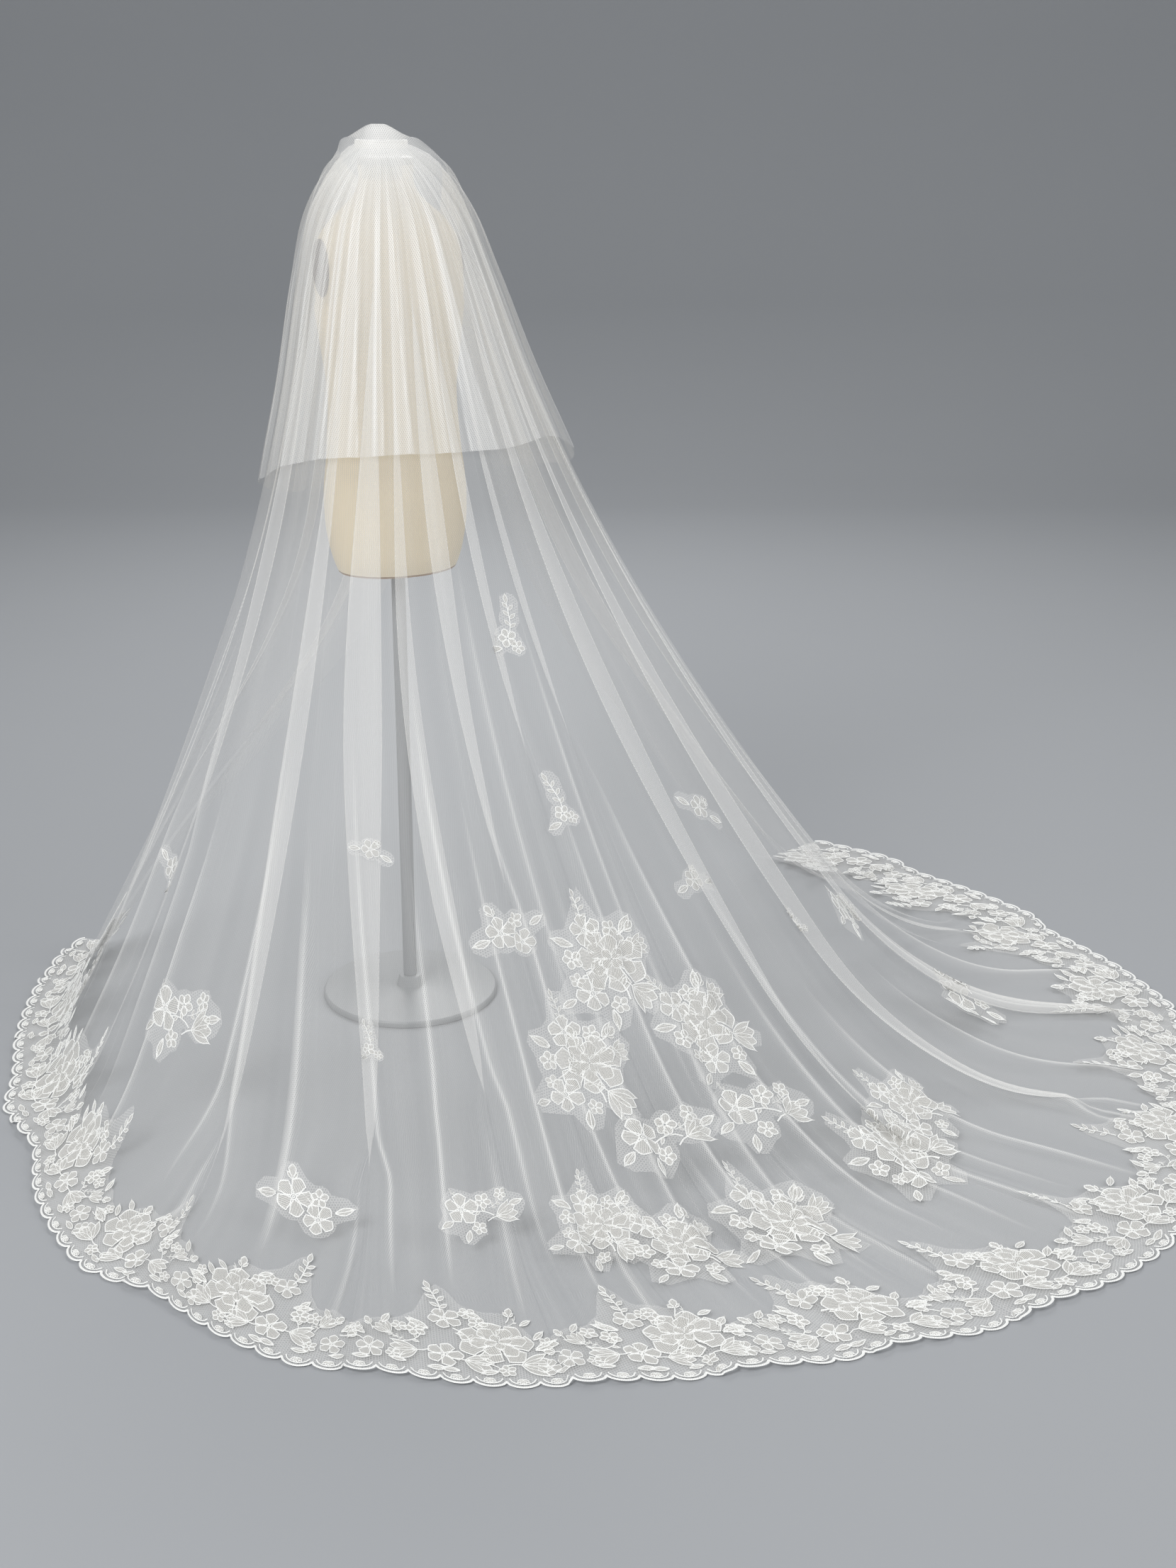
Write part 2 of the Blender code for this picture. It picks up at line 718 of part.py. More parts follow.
def add_lace_hem(sheet, ruler, hem_row, finish):
    """The lace edging: scallops past the hem, motif tops up the cloth, plain ends."""
    length = ruler.across[hem_row, -1]
    last = sheet.middle.shape[1] - 1
    outline = []
    for scallop in range(SCALLOPS):
        for share, out in ((0.0, SCALLOP_ROOT), (0.28, SCALLOP_OUT), (0.72, SCALLOP_OUT)):
            column = ruler.beside(0.0, hem_row, length * (scallop + share) / SCALLOPS)
            outline.append((column, hem_row + out / HEM_BEYOND))
    outline.append((float(last), hem_row + SCALLOP_ROOT / HEM_BEYOND))
    rises = []
    for repeat in range(HEM_REPEATS):
        for step in HEM_MOTIF:
            share = (repeat + step.share) / HEM_REPEATS
            uneven = 1.0 + 0.12 * math.sin(9.0 * share * math.tau)
            rises.append((share, step.rise * uneven))
    rises.append((1.0, HEM_MOTIF[0].rise))
    for share, rise in reversed(rises):
        column = ruler.beside(0.0, hem_row, length * share)
        outline.append((column, ruler.row_at(column, ruler.down_at(column, hem_row) - rise)))
    return laid_on("lace_hem", sheet, outline, LACE_WALL, finish)


def add_sprays(sheet, ruler, finish):
    """Flower and leaf sprays: a lobed outline each, longest towards the comb."""
    columns_each = 7
    for number, spray in enumerate(SPRAYS, start=1):
        column = spray.pleat * columns_each
        lean = math.radians(spray.lean)
        outline = []
        for step in range(2 * SPRAY_LOBES):
            angle = math.pi * (step + 0.5 * (number % 2)) / SPRAY_LOBES
            reach = SPRAY_NOTCH if step % 2 else 1.0
            across = 0.5 * spray.width * reach * math.sin(angle)
            up = 0.5 * spray.height * reach * math.cos(angle)
            sideways = across * math.cos(lean) + up * math.sin(lean)
            rise = up * math.cos(lean) - across * math.sin(lean)
            row = ruler.row_at(column, spray.down - rise)
            outline.append((ruler.beside(column, row, sideways), row))
        laid_on(f"applique_{number:02d}", sheet, outline, LACE_WALL, finish)


def ring(height, half_width, half_depth, sides):
    return [
        (
            half_width * math.cos(math.tau * side / sides),
            half_depth * math.sin(math.tau * side / sides),
            height,
        )
        for side in range(sides)
    ]


def loft(name, levels, sides, finish):
    """A closed body through level rings, flat below and above."""
    points = []
    faces = []
    for level in levels:
        points += ring(*level, sides)
    for row in range(len(levels) - 1):
        for side in range(sides):
            a = row * sides + side
            b = row * sides + (side + 1) % sides
            faces.append((a, b, b + sides, a + sides))
    faces.append(tuple(reversed(range(sides))))
    faces.append(tuple(range(len(points) - sides, len(points))))
    return add_object(name, points, faces, finish, round_piece=True)


def add_torso(finish):
    """The padded body, its shoulder ends cut flat for the armhole plates."""
    torso = loft("form_torso", TORSO_LEVELS, TORSO_SIDES, finish)
    for side, label in ((-1, "left"), (1, "right")):
        cutter = box(
            "armhole_cut_" + label,
            (side * (ARMHOLE_X + 0.05), 0.0, ARMHOLE_HEIGHT),
            (0.05, 0.10, ARMHOLE_HALF_HEIGHT + 0.010),
            finish,
        )
        cutter.hide_render = True
        cutter.display_type = "WIRE"
        cut = torso.modifiers.new("Armhole " + label, "BOOLEAN")
        cut.operation = "DIFFERENCE"
        cut.object = cutter
    return torso


def box(name, centre, half, finish):
    body = bmesh.new()
    bmesh.ops.create_cube(body, size=2.0)
    for vertex in body.verts:
        vertex.co = Vector([centre[i] + vertex.co[i] * half[i] for i in range(3)])
    mesh = bpy.data.meshes.new(name)
    body.to_mesh(mesh)
    body.free()
    mesh.materials.append(finish)
    piece = bpy.data.objects.new(name, mesh)
    bpy.context.scene.collection.objects.link(piece)
    return piece


def add_armhole_plate(name, side, finish):
    """A flat oval plate over a cut shoulder end."""
    sides = 24
    near = side * (ARMHOLE_X + SEAM_GAP)
    far = near + side * ARMHOLE_PLATE
    oval = [
        (
            ARMHOLE_HALF_DEPTH * math.cos(math.tau * i / sides),
            ARMHOLE_HEIGHT + ARMHOLE_HALF_HEIGHT * math.sin(math.tau * i / sides),
        )
        for i in range(sides)
    ]
    points = [(min(near, far), y, z) for y, z in oval] + [(max(near, far), y, z) for y, z in oval]
    faces = [(i, (i + 1) % sides, sides + (i + 1) % sides, sides + i) for i in range(sides)]
    faces.append(tuple(reversed(range(sides))))
    faces.append(tuple(range(sides, 2 * sides)))
    return add_object(name, points, faces, finish, round_piece=True)


def arc_wall(name, outline, radius, thickness, finish):
    """A flat outline of angle and height, given a thickness and bent round the neck."""
    places = [Vector(place) for place in outline]
    found, triangles = cut_triangles(places, ring_edges(len(outline)), outline)

    def bent(place, distance):
        angle = math.radians(SEAM_BEARING + place.x * 1000.0)
        return (distance * math.cos(angle), distance * math.sin(angle), place.y)

    front = [bent(place, radius + thickness) for place in found]
    back = [bent(place, radius) for place in found]
    return closed_wall(name, front, back, triangles, finish)


def add_comb(finish):
    """A moulded comb round the back of the neck: a spine with tapered teeth."""
    half = COMB_HALF_ANGLE / 1000.0
    pitch = 2.0 * half / COMB_TEETH
    outline = []
    for tooth in range(COMB_TEETH):
        start = -half + tooth * pitch
        outline.append((start + 0.18 * pitch, COMB_TOOTH_ROOT))
        outline.append((start + 0.38 * pitch, COMB_TOOTH_TIP))
        outline.append((start + 0.62 * pitch, COMB_TOOTH_TIP))
        outline.append((start + 0.82 * pitch, COMB_TOOTH_ROOT))
    outline.append((half, COMB_TOOTH_ROOT))
    for step in range(COMB_TEETH + 1):
        outline.append((half - step * pitch, COMB_TOP))
    outline.append((-half, COMB_TOOTH_ROOT))
    return arc_wall("comb", outline, NECK_RADIUS + SEAM_GAP, COMB_THICKNESS, finish)


def add_gather_band(finish):
    """The bound seam that gathers both tiers, on top of the comb's spine."""
    half = SEAM_HALF_ANGLE / 1000.0
    steps = 20
    bottom = COMB_TOP + SEAM_GAP
    outline = [(-half + 2.0 * half * i / steps, bottom) for i in range(steps + 1)]
    outline += [(half - 2.0 * half * i / steps, BAND_TOP) for i in range(steps + 1)]
    inner = NECK_RADIUS + SEAM_GAP
    outer = SEAM_RADIUS - SEAM_WAVE - NET_WALL / 2.0 - SEAM_GAP
    return arc_wall("gather_band", outline, inner, outer - inner, finish)


def add_stand(metal):
    """A round base with a collar, and a pole up to the form's underside."""
    base = [
        (0.0, BASE_RADIUS, BASE_RADIUS),
        (BASE_THICKNESS * 0.6, BASE_RADIUS, BASE_RADIUS),
        (BASE_THICKNESS, BASE_RADIUS - 0.006, BASE_RADIUS - 0.006),
        (BASE_THICKNESS + 0.002, COLLAR_RADIUS, COLLAR_RADIUS),
        (COLLAR_HEIGHT, COLLAR_RADIUS * 0.8, COLLAR_RADIUS * 0.8),
    ]
    loft("form_base", base, 30, metal)
    start = COLLAR_HEIGHT + SEAM_GAP
    end = TORSO_LEVELS[0].height - SEAM_GAP
    pole = [(start, POLE_RADIUS, POLE_RADIUS), (end, POLE_RADIUS, POLE_RADIUS)]
    loft("form_pole", pole, 24, metal)


def add_neck_cap(finish):
    start = TORSO_LEVELS[-1].height + SEAM_GAP
    top = start + NECK_CAP_THICKNESS
    cap = [
        (start, NECK_RADIUS, NECK_RADIUS),
        (top - 0.004, NECK_RADIUS, NECK_RADIUS),
        (top, NECK_RADIUS - 0.006, NECK_RADIUS - 0.006),
    ]
    loft("form_neck_cap", cap, 32, finish)


def main():
    for piece in list(bpy.data.objects):
        bpy.data.objects.remove(piece, do_unlink=True)
    net = material("ivory tulle net", (0.90, 0.90, 0.88), 0.75)
    lace = material("white corded lace", (0.95, 0.95, 0.94), 0.65)
    ribbon = material("white satin binding", (0.93, 0.92, 0.90), 0.45)
    horn = material("clear moulded comb", (0.85, 0.86, 0.86), 0.25)
    jersey = material("cream cotton jersey", (0.78, 0.68, 0.52), 0.85)
    plate = material("dark wood stain", (0.10, 0.07, 0.05), 0.45)
    metal = material("powder coated steel", (0.75, 0.74, 0.72), 0.40)

    long_sheet = Sheet(long_middle(), NET_WALL)
    hem_row = long_sheet.middle.shape[0] - 2
    add_sheet("long_tier", long_sheet, hem_row + 1, net)
    short_sheet = Sheet(short_middle(), NET_WALL)
    add_sheet("short_tier", short_sheet, short_sheet.middle.shape[0], net)
    ruler = Ruler(long_sheet)
    add_lace_hem(long_sheet, ruler, hem_row, lace)
    add_sprays(long_sheet, ruler, lace)
    add_torso(jersey)
    add_neck_cap(plate)
    add_armhole_plate("armhole_plate_left", -1, plate)
    add_armhole_plate("armhole_plate_right", 1, plate)
    add_comb(horn)
    add_gather_band(ribbon)
    add_stand(metal)


main()
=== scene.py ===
"""Dresses a two-tier bridal veil with net, corded lace and the dress form that wears it.

Metres, +Z up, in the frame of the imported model. The form faces +Y and the train spreads
towards -Y. A bearing is an angle about the stand's pole, in degrees, counted from +X
towards +Y. A drop is the share of the veil's height that a point of the cloth has fallen:
0 at the top, 1 where a straight fall meets the floor.
"""

import math
import random
from collections import namedtuple

import bpy
import numpy as np
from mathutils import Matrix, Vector


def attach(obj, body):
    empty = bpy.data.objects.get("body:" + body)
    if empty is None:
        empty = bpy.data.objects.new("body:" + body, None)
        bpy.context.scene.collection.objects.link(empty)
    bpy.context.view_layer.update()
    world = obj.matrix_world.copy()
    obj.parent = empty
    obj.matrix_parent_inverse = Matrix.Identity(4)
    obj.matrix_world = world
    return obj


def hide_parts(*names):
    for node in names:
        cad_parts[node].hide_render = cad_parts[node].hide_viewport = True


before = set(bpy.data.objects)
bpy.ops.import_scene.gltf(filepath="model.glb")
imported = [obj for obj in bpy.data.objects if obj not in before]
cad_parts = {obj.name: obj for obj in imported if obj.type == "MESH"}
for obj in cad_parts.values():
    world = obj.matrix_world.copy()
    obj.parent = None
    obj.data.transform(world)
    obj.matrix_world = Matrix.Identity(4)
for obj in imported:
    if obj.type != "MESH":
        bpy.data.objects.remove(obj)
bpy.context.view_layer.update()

bl_info = {
    "name": "Bridal veil",
    "version": (1, 0, 0),
    "blender": (4, 5, 0),
    "location": "3D View > Sidebar > Veil",
    "description": "Dresses a bridal veil on its form with net, lace and a studio floor",
    "category": "Object",
}

BODY = "root"


def table(kind, rows):
    """Rows of one kind from their plain values."""
    return [kind(*row) for row in rows]


# Sizes the cloth shares with its solids
VEIL_TOP = 1.600
SEAM_HEIGHT = 1.566
NET_WALL = 0.0015
SEAM_RADIUS = 0.0580
SEAM_BEARING = 240.0
# Half the arc round the neck that the gathers take, and half the arc of the binding
SEAM_HALF_ANGLE = 45.0
BAND_HALF_ANGLE = 52.0
SHOULDER_FALL = 0.045
SIDE_SWEEP = 0.030
LEFT_EDGE_TOP = 65.0
LEFT_EDGE_FLOOR = 136.0
RIGHT_EDGE_TOP = 395.0
RIGHT_EDGE_FLOOR = 377.0
EDGE_PARTS_FROM = 0.42
EDGE_PARTS_TO = 0.98

Meridian = namedtuple("Meridian", "bearing shoulder landing flare hem softness")
MERIDIANS = table(Meridian, [
    (60, 0.122, 0.66, 1.8, 0.75, 0.05), (100, 0.12, 0.62, 1.85, 0.7, 0.05),
    (136, 0.128, 0.65, 1.85, 0.712, 0.05), (163, 0.138, 0.65, 1.88, 0.712, 0.05),
    (189, 0.14, 0.69, 1.88, 0.777, 0.07), (216, 0.132, 0.76, 1.78, 0.975, 0.13),
    (242, 0.124, 0.84, 1.65, 1.198, 0.2), (270, 0.12, 0.91, 1.6, 1.346, 0.24),
    (300, 0.124, 0.98, 1.58, 1.52, 0.25), (329, 0.128, 1.0, 1.56, 1.439, 0.24),
    (352, 0.13, 0.97, 1.56, 1.277, 0.2), (377, 0.128, 0.92, 1.58, 1.142, 0.16),
    (400, 0.125, 0.88, 1.6, 1.05, 0.12),
])
Pleat = namedtuple("Pleat", "name top floor band widest tip")
LONG_PLEATS = table(Pleat, [
    ("front_left", 84, 141, 0.032, 0.45, 0.8), ("side_front", 112, 152, 0.03, 0.4, 0.86),
    ("side_left", 146, 172, 0.034, 0.5, 0.92), ("left_outer", 192, 195, 0.038, 0.4, 0.76),
    ("left_long", 223, 226, 0.033, 0.62, 1.03), ("back_wide", 240, 245, 0.064, 0.6, 0.99),
    ("back_late", 251, 259, 0.034, 0.74, 0.92), ("back_early", 263, 268, 0.04, 0.3, 0.78),
    ("right_fine", 274, 277, 0.026, 0.3, 0.68), ("right_thin", 284, 286, 0.016, 0.42, 0.68),
    ("train_left", 297, 299, 0.05, 0.6, 1.14), ("train_middle", 313, 313, 0.07, 0.78, 1.24),
    ("train_right", 331, 330, 0.086, 0.8, 1.28), ("side_right", 352, 349, 0.074, 0.62, 1.16),
    ("front_right", 376, 366, 0.04, 0.5, 1.0),
])
SEAM_TO_BAND = 0.08
BAND_OPEN = 0.48
FLAT_HALF_BAND = 0.006
# Share of its full width that a soft fold has where a band runs out, and how far below
# that place, in drops, it has all of it
LOOSE_AT_TIP = 0.34
LOOSE_RUN = 0.55
BAND_SHARE = 0.90
PANEL_CROWN = 0.50
SOFT_WAVE = 0.07
FOLD_BEND_LEAST = 0.0011
FOLD_BEND_MOST = 0.0019
LANDING_START = 0.81
HEM_BEYOND = 0.022
# How long the soft turn onto the floor may be: a share of what lies past it, and a least
TURN_SHARE = 0.8
TURN_LEAST = 0.015
# Drops between which the cloth is lifted by its folds, so that none goes into the floor
LIFT_FROM = 0.85
LIFT_TO = 1.04
# Rows of the long tier above and below the place where the cloth nears the floor
HIGH_ROWS = 34
LOW_ROWS = 36
# Columns in each gap between the lines of a pleat
PLEAT_COLUMNS = [8, 3, 3, 8, 3, 3, 8]
PLEAT_GAPS = len(PLEAT_COLUMNS)
# Steps in degrees and in drops over which the cloth's own directions are measured
BEARING_STEP = 0.5
DROP_STEP = 0.004
Fold = namedtuple("Fold", "drop height")
LONG_FOLDS = table(Fold, [
    (0.02, 0.0008), (0.05, 0.0014), (0.1, 0.0026), (0.2, 0.0036), (0.4, 0.0046), (0.8, 0.0048),
    (1.0, 0.0036), (1.2, 0.003), (1.6, 0.0025),
])
SHORT_HEIGHTS = table(Fold, [(0.02, 0.001), (0.05, 0.0018), (0.15, 0.003), (0.4, 0.005)])
SHORT_WAVES = 11
# Lines drawn across one wave, columns in each gap between them, and rows in each gap down
WAVE_LINES = 4
WAVE_COLUMNS = 9
SHORT_ROW_COUNTS = [4, 4, 4, 4, 5, 5, 6, 14, 14]
ShortHem = namedtuple("ShortHem", "bearing height")
SHORT_HEM = table(ShortHem, [
    (62, 0.93), (95, 0.94), (125, 0.94), (150, 0.972), (175, 1.01), (205, 1.054), (245, 1.08),
    (290, 1.08), (325, 1.072), (350, 1.005), (398, 0.95),
])
SHORT_EDGE_INSET = 4.0
SHORT_ROWS = [0.052, 0.095, 0.160]
SHORT_LOWER_ROWS = [0.50, 1.0]
FOLD_ROOM = 1.25
TIER_GAP = 0.0030
PUFF_SAG = 0.0230
Puff = namedtuple("Puff", "outward height")
PUFF = table(Puff, [
    (0.0, 1.5686), (0.001, 1.588), (0.0065, 1.5985), (0.0135, 1.5915), (0.018, 1.565),
])

# Creases of the long tier: the pleat they lie beside, counted along the cloth, the drops
# where they begin and end, half their width, how far they stand off the cloth (a trough is
# below zero) and how much net is gathered in them
Crease = namedtuple("Crease", "at start end width lift gather")
LONG_CREASES = table(Crease, [
    (0.1, 0.3, 1.0, 0.02, 0.006, 1.2), (0.9, 0.42, 1.02, 0.026, -0.005, 0.0),
    (1.08, 0.36, 0.98, 0.016, 0.006, 1.5), (1.92, 0.5, 1.04, 0.022, 0.007, 1.4),
    (2.06, 0.45, 0.96, 0.02, -0.006, 0.0), (2.94, 0.4, 1.02, 0.014, 0.006, 1.8),
    (3.06, 0.62, 1.06, 0.012, 0.007, 2.4), (3.12, 0.55, 0.98, 0.018, -0.005, 0.0),
    (3.9, 0.5, 1.04, 0.012, 0.006, 2.2), (3.97, 0.66, 1.12, 0.01, 0.008, 3.4),
    (4.04, 0.52, 0.96, 0.016, -0.006, 0.0), (4.1, 0.58, 1.06, 0.011, 0.007, 3.0),
    (4.3, 0.94, 1.22, 0.014, 0.005, 1.4), (4.88, 0.55, 1.14, 0.012, 0.006, 2.2),
    (5.0, 0.68, 1.14, 0.01, 0.008, 3.2), (5.06, 0.6, 1.0, 0.018, -0.006, 0.0),
    (5.3, 0.98, 1.26, 0.012, 0.005, 1.4), (5.9, 0.56, 1.2, 0.012, 0.007, 2.6),
    (6.02, 0.7, 1.16, 0.011, 0.007, 2.6), (6.09, 0.52, 0.9, 0.014, -0.005, 0.0),
    (6.3, 0.92, 1.24, 0.014, 0.005, 1.8), (6.92, 0.5, 1.14, 0.013, 0.008, 3.0),
    (7.03, 0.62, 1.22, 0.01, 0.008, 3.4), (7.1, 0.74, 1.24, 0.016, -0.006, 0.0),
    (7.26, 0.98, 1.28, 0.014, 0.006, 2.0), (7.88, 0.6, 1.18, 0.01, 0.007, 3.0),
    (7.97, 0.4, 0.92, 0.012, 0.005, 1.8), (8.08, 0.72, 1.26, 0.013, 0.008, 2.8),
    (8.22, 0.86, 1.24, 0.018, -0.007, 0.0), (8.7, 0.96, 1.3, 0.012, 0.006, 2.0),
    (8.93, 0.58, 1.22, 0.011, 0.008, 3.0), (9.04, 0.46, 0.96, 0.01, 0.005, 2.0),
    (9.1, 0.72, 1.28, 0.016, 0.009, 2.6), (9.3, 0.98, 1.3, 0.02, -0.008, 0.0),
    (9.4, 1.0, 1.34, 0.013, 0.006, 1.8), (9.92, 0.6, 1.26, 0.012, 0.009, 3.0),
    (10.06, 0.78, 1.32, 0.016, 0.009, 2.8), (10.12, 0.8, 1.3, 0.022, -0.007, 0.0),
    (10.32, 1.02, 1.36, 0.013, 0.007, 2.2), (10.88, 0.72, 1.3, 0.014, 0.008, 2.8),
    (10.98, 0.86, 1.36, 0.013, 0.01, 3.4), (11.08, 0.8, 1.34, 0.02, -0.008, 0.0),
    (11.14, 0.9, 1.38, 0.014, 0.009, 2.8), (11.38, 1.04, 1.42, 0.013, 0.007, 2.0),
    (11.86, 0.84, 1.38, 0.016, 0.009, 2.6), (11.97, 0.88, 1.36, 0.012, 0.01, 3.2),
    (12.07, 0.8, 1.34, 0.018, -0.008, 0.0), (12.14, 0.86, 1.36, 0.014, 0.009, 2.6),
    (12.34, 1.0, 1.38, 0.013, 0.007, 2.0), (12.88, 0.78, 1.32, 0.014, 0.009, 2.8),
    (12.98, 0.84, 1.34, 0.013, 0.009, 3.0), (13.08, 0.7, 1.26, 0.02, -0.007, 0.0),
    (13.13, 0.74, 1.24, 0.014, 0.008, 2.2), (13.9, 0.62, 1.18, 0.016, 0.008, 2.0),
    (14.06, 0.66, 1.16, 0.02, -0.006, 0.0), (14.12, 0.5, 1.12, 0.014, 0.007, 1.8),
    (14.88, 0.4, 1.1, 0.018, 0.006, 1.2),
])
# Creases of the short tier, counted along its waves
SHORT_CREASES = table(Crease, [
    (0.35, 0.1, 0.42, 0.01, 0.003, 1.5), (0.9, 0.06, 0.45, 0.007, 0.004, 2.4),
    (1.4, 0.12, 0.36, 0.009, 0.003, 1.2), (1.95, 0.08, 0.45, 0.006, 0.004, 2.6),
    (2.55, 0.05, 0.3, 0.008, 0.003, 1.8), (3.1, 0.1, 0.45, 0.007, 0.004, 2.2),
    (3.45, 0.06, 0.45, 0.006, 0.004, 2.8), (3.9, 0.14, 0.4, 0.008, 0.003, 1.6),
    (4.35, 0.05, 0.45, 0.006, 0.004, 3.0), (4.8, 0.08, 0.33, 0.007, 0.003, 2.0),
    (5.15, 0.05, 0.45, 0.006, 0.004, 2.6), (5.6, 0.1, 0.45, 0.008, 0.004, 1.8),
    (5.95, 0.05, 0.38, 0.006, 0.003, 2.8), (6.4, 0.07, 0.45, 0.006, 0.004, 2.4),
    (6.85, 0.12, 0.45, 0.008, 0.004, 1.6), (7.3, 0.05, 0.34, 0.006, 0.003, 2.6),
    (7.75, 0.08, 0.45, 0.007, 0.004, 2.2), (8.2, 0.06, 0.45, 0.006, 0.004, 2.8),
    (8.75, 0.1, 0.4, 0.008, 0.003, 1.6), (9.2, 0.06, 0.45, 0.007, 0.004, 2.4),
    (9.8, 0.08, 0.45, 0.008, 0.004, 2.0), (10.35, 0.1, 0.42, 0.009, 0.003, 1.4),
])

# Folds pressed flat in the short tier: where each lies at its head and at its foot, how
# wide it is there, counted along the tier's waves, where it runs and its layers of net
Press = namedtuple("Press", "head foot wide_head wide_foot start end gather")
SHORT_PRESSED = table(Press, [
    (0.6, 0.5, 0.1, 0.22, 0.05, 0.5, 1.2), (1.15, 1.1, 0.16, 0.1, 0.04, 0.5, 1.6),
    (1.8, 1.7, 0.12, 0.26, 0.05, 0.5, 1.2), (2.7, 2.6, 0.14, 0.44, 0.06, 0.5, 1.4),
    (3.6, 3.5, 0.1, 0.18, 0.05, 0.5, 1.6), (4.02, 3.94, 0.2, 0.52, 0.04, 0.5, 1.3),
    (4.62, 4.66, 0.14, 0.34, 0.04, 0.5, 1.6), (5.05, 5.12, 0.1, 0.22, 0.05, 0.5, 1.2),
    (5.42, 5.5, 0.16, 0.62, 0.04, 0.5, 1.7), (5.95, 6.02, 0.1, 0.16, 0.05, 0.5, 1.3),
    (6.25, 6.36, 0.08, 0.3, 0.04, 0.5, 1.6), (6.8, 6.88, 0.14, 0.2, 0.06, 0.5, 1.2),
    (7.3, 7.36, 0.1, 0.5, 0.05, 0.5, 1.8), (7.95, 8.0, 0.12, 0.18, 0.05, 0.5, 1.3),
    (8.55, 8.6, 0.1, 0.24, 0.05, 0.5, 1.4), (9.4, 9.5, 0.14, 0.2, 0.06, 0.5, 1.2),
    (10.1, 10.2, 0.1, 0.22, 0.05, 0.5, 1.4),
])
PRESSED_EDGE = 0.012
PRESSED_FADE = 0.08
PRESSED_LAYERS = 0.65
PRESSED_EDGE_LAYERS = 1.4

# Width the net is counted at, by drop: where the cloth hangs narrower it shows denser
Cut = namedtuple("Cut", "drop width")
LONG_CUT = table(Cut, [
    (0.0, 1.9), (0.06, 2.0), (0.16, 2.1), (0.3, 2.3), (0.45, 2.6), (1.6, 5.1),
])
SHORT_CUT = table(Cut, [(-0.05, 0.6), (0.02, 1.2), (0.1, 1.6), (0.25, 2.0), (0.45, 2.1)])
MOST_LAYERS = 5.0
# Gathers below the seam: the range of their widths along the sheet, of their strengths and
# of the drops at which they run out, and how steep one may stand
GATHER_WIDTHS = (0.10, 0.26)
GATHER_STRENGTHS = (0.4, 1.0)
GATHER_ENDS = (0.12, 0.40)
GATHER_STEEPEST = 0.14
# How much of its run-out a gather keeps whole, and the layers an even sheet gives up for it
GATHER_WHOLE = 0.35
GATHER_EVEN = 0.35
# How full the short tier is gathered, by the share of its width: thin over both shoulders
Fullness = namedtuple("Fullness", "share part")
SHORT_FULLNESS = table(Fullness, [
    (0.0, 0.5), (0.35, 0.55), (0.46, 0.95), (0.68, 0.95), (0.8, 0.66), (1.0, 0.55),
])
# Layers of net that a fold's own edge shows as, and the drops between which it begins to
FOLD_EDGE = 2.4
FOLD_EDGE_FROM = 0.12
FOLD_EDGE_TO = 0.30
# A crease shows as a bright line in a faint halo: how many times narrower than the crease
# each is, and how much of the crease's layers it has
CREASE_LINE = 4.0
CREASE_LINE_PART = 0.80
CREASE_HALO = 1.2
CREASE_HALO_PART = 0.16
# The share of a crease's length over which it begins and ends
CREASE_FADE = 0.35
# Columns added beside each crease, in shares of a gap between two lines of the sheet
CREASE_STOPS = (-0.13, -0.055, -0.022, 0.0, 0.022, 0.055, 0.13)

# Lace
SCALLOPS = 108
SCALLOP_OUT = 0.016
SCALLOP_ROOT = 0.003
SCALLOP_DRAWN = 0.0468
SCALLOP_BOW = 0.55
SCALLOP_COLUMNS = 8
GROUND_ROWS = 14
GROUND_UNEVEN = 0.006
HEM_REPEATS = 17
GROUND_LIFT = 0.0011
FILL_LIFT = 0.0015
# How much further off the ground than its filling a motif's cord is laid
CORD_OVER_FILL = 1.3
Rise = namedtuple("Rise", "share height")
GROUND_TOP = table(Rise, [
    (0.0, 0.1), (0.07, 0.106), (0.17, 0.122), (0.29, 0.126), (0.36, 0.15), (0.42, 0.206),
    (0.47, 0.23), (0.52, 0.216), (0.58, 0.18), (0.68, 0.164), (0.8, 0.164), (0.88, 0.134),
    (0.94, 0.104), (1.0, 0.1),
])
# The length of one repeat of the edging as drawn
REPEAT = 0.2976
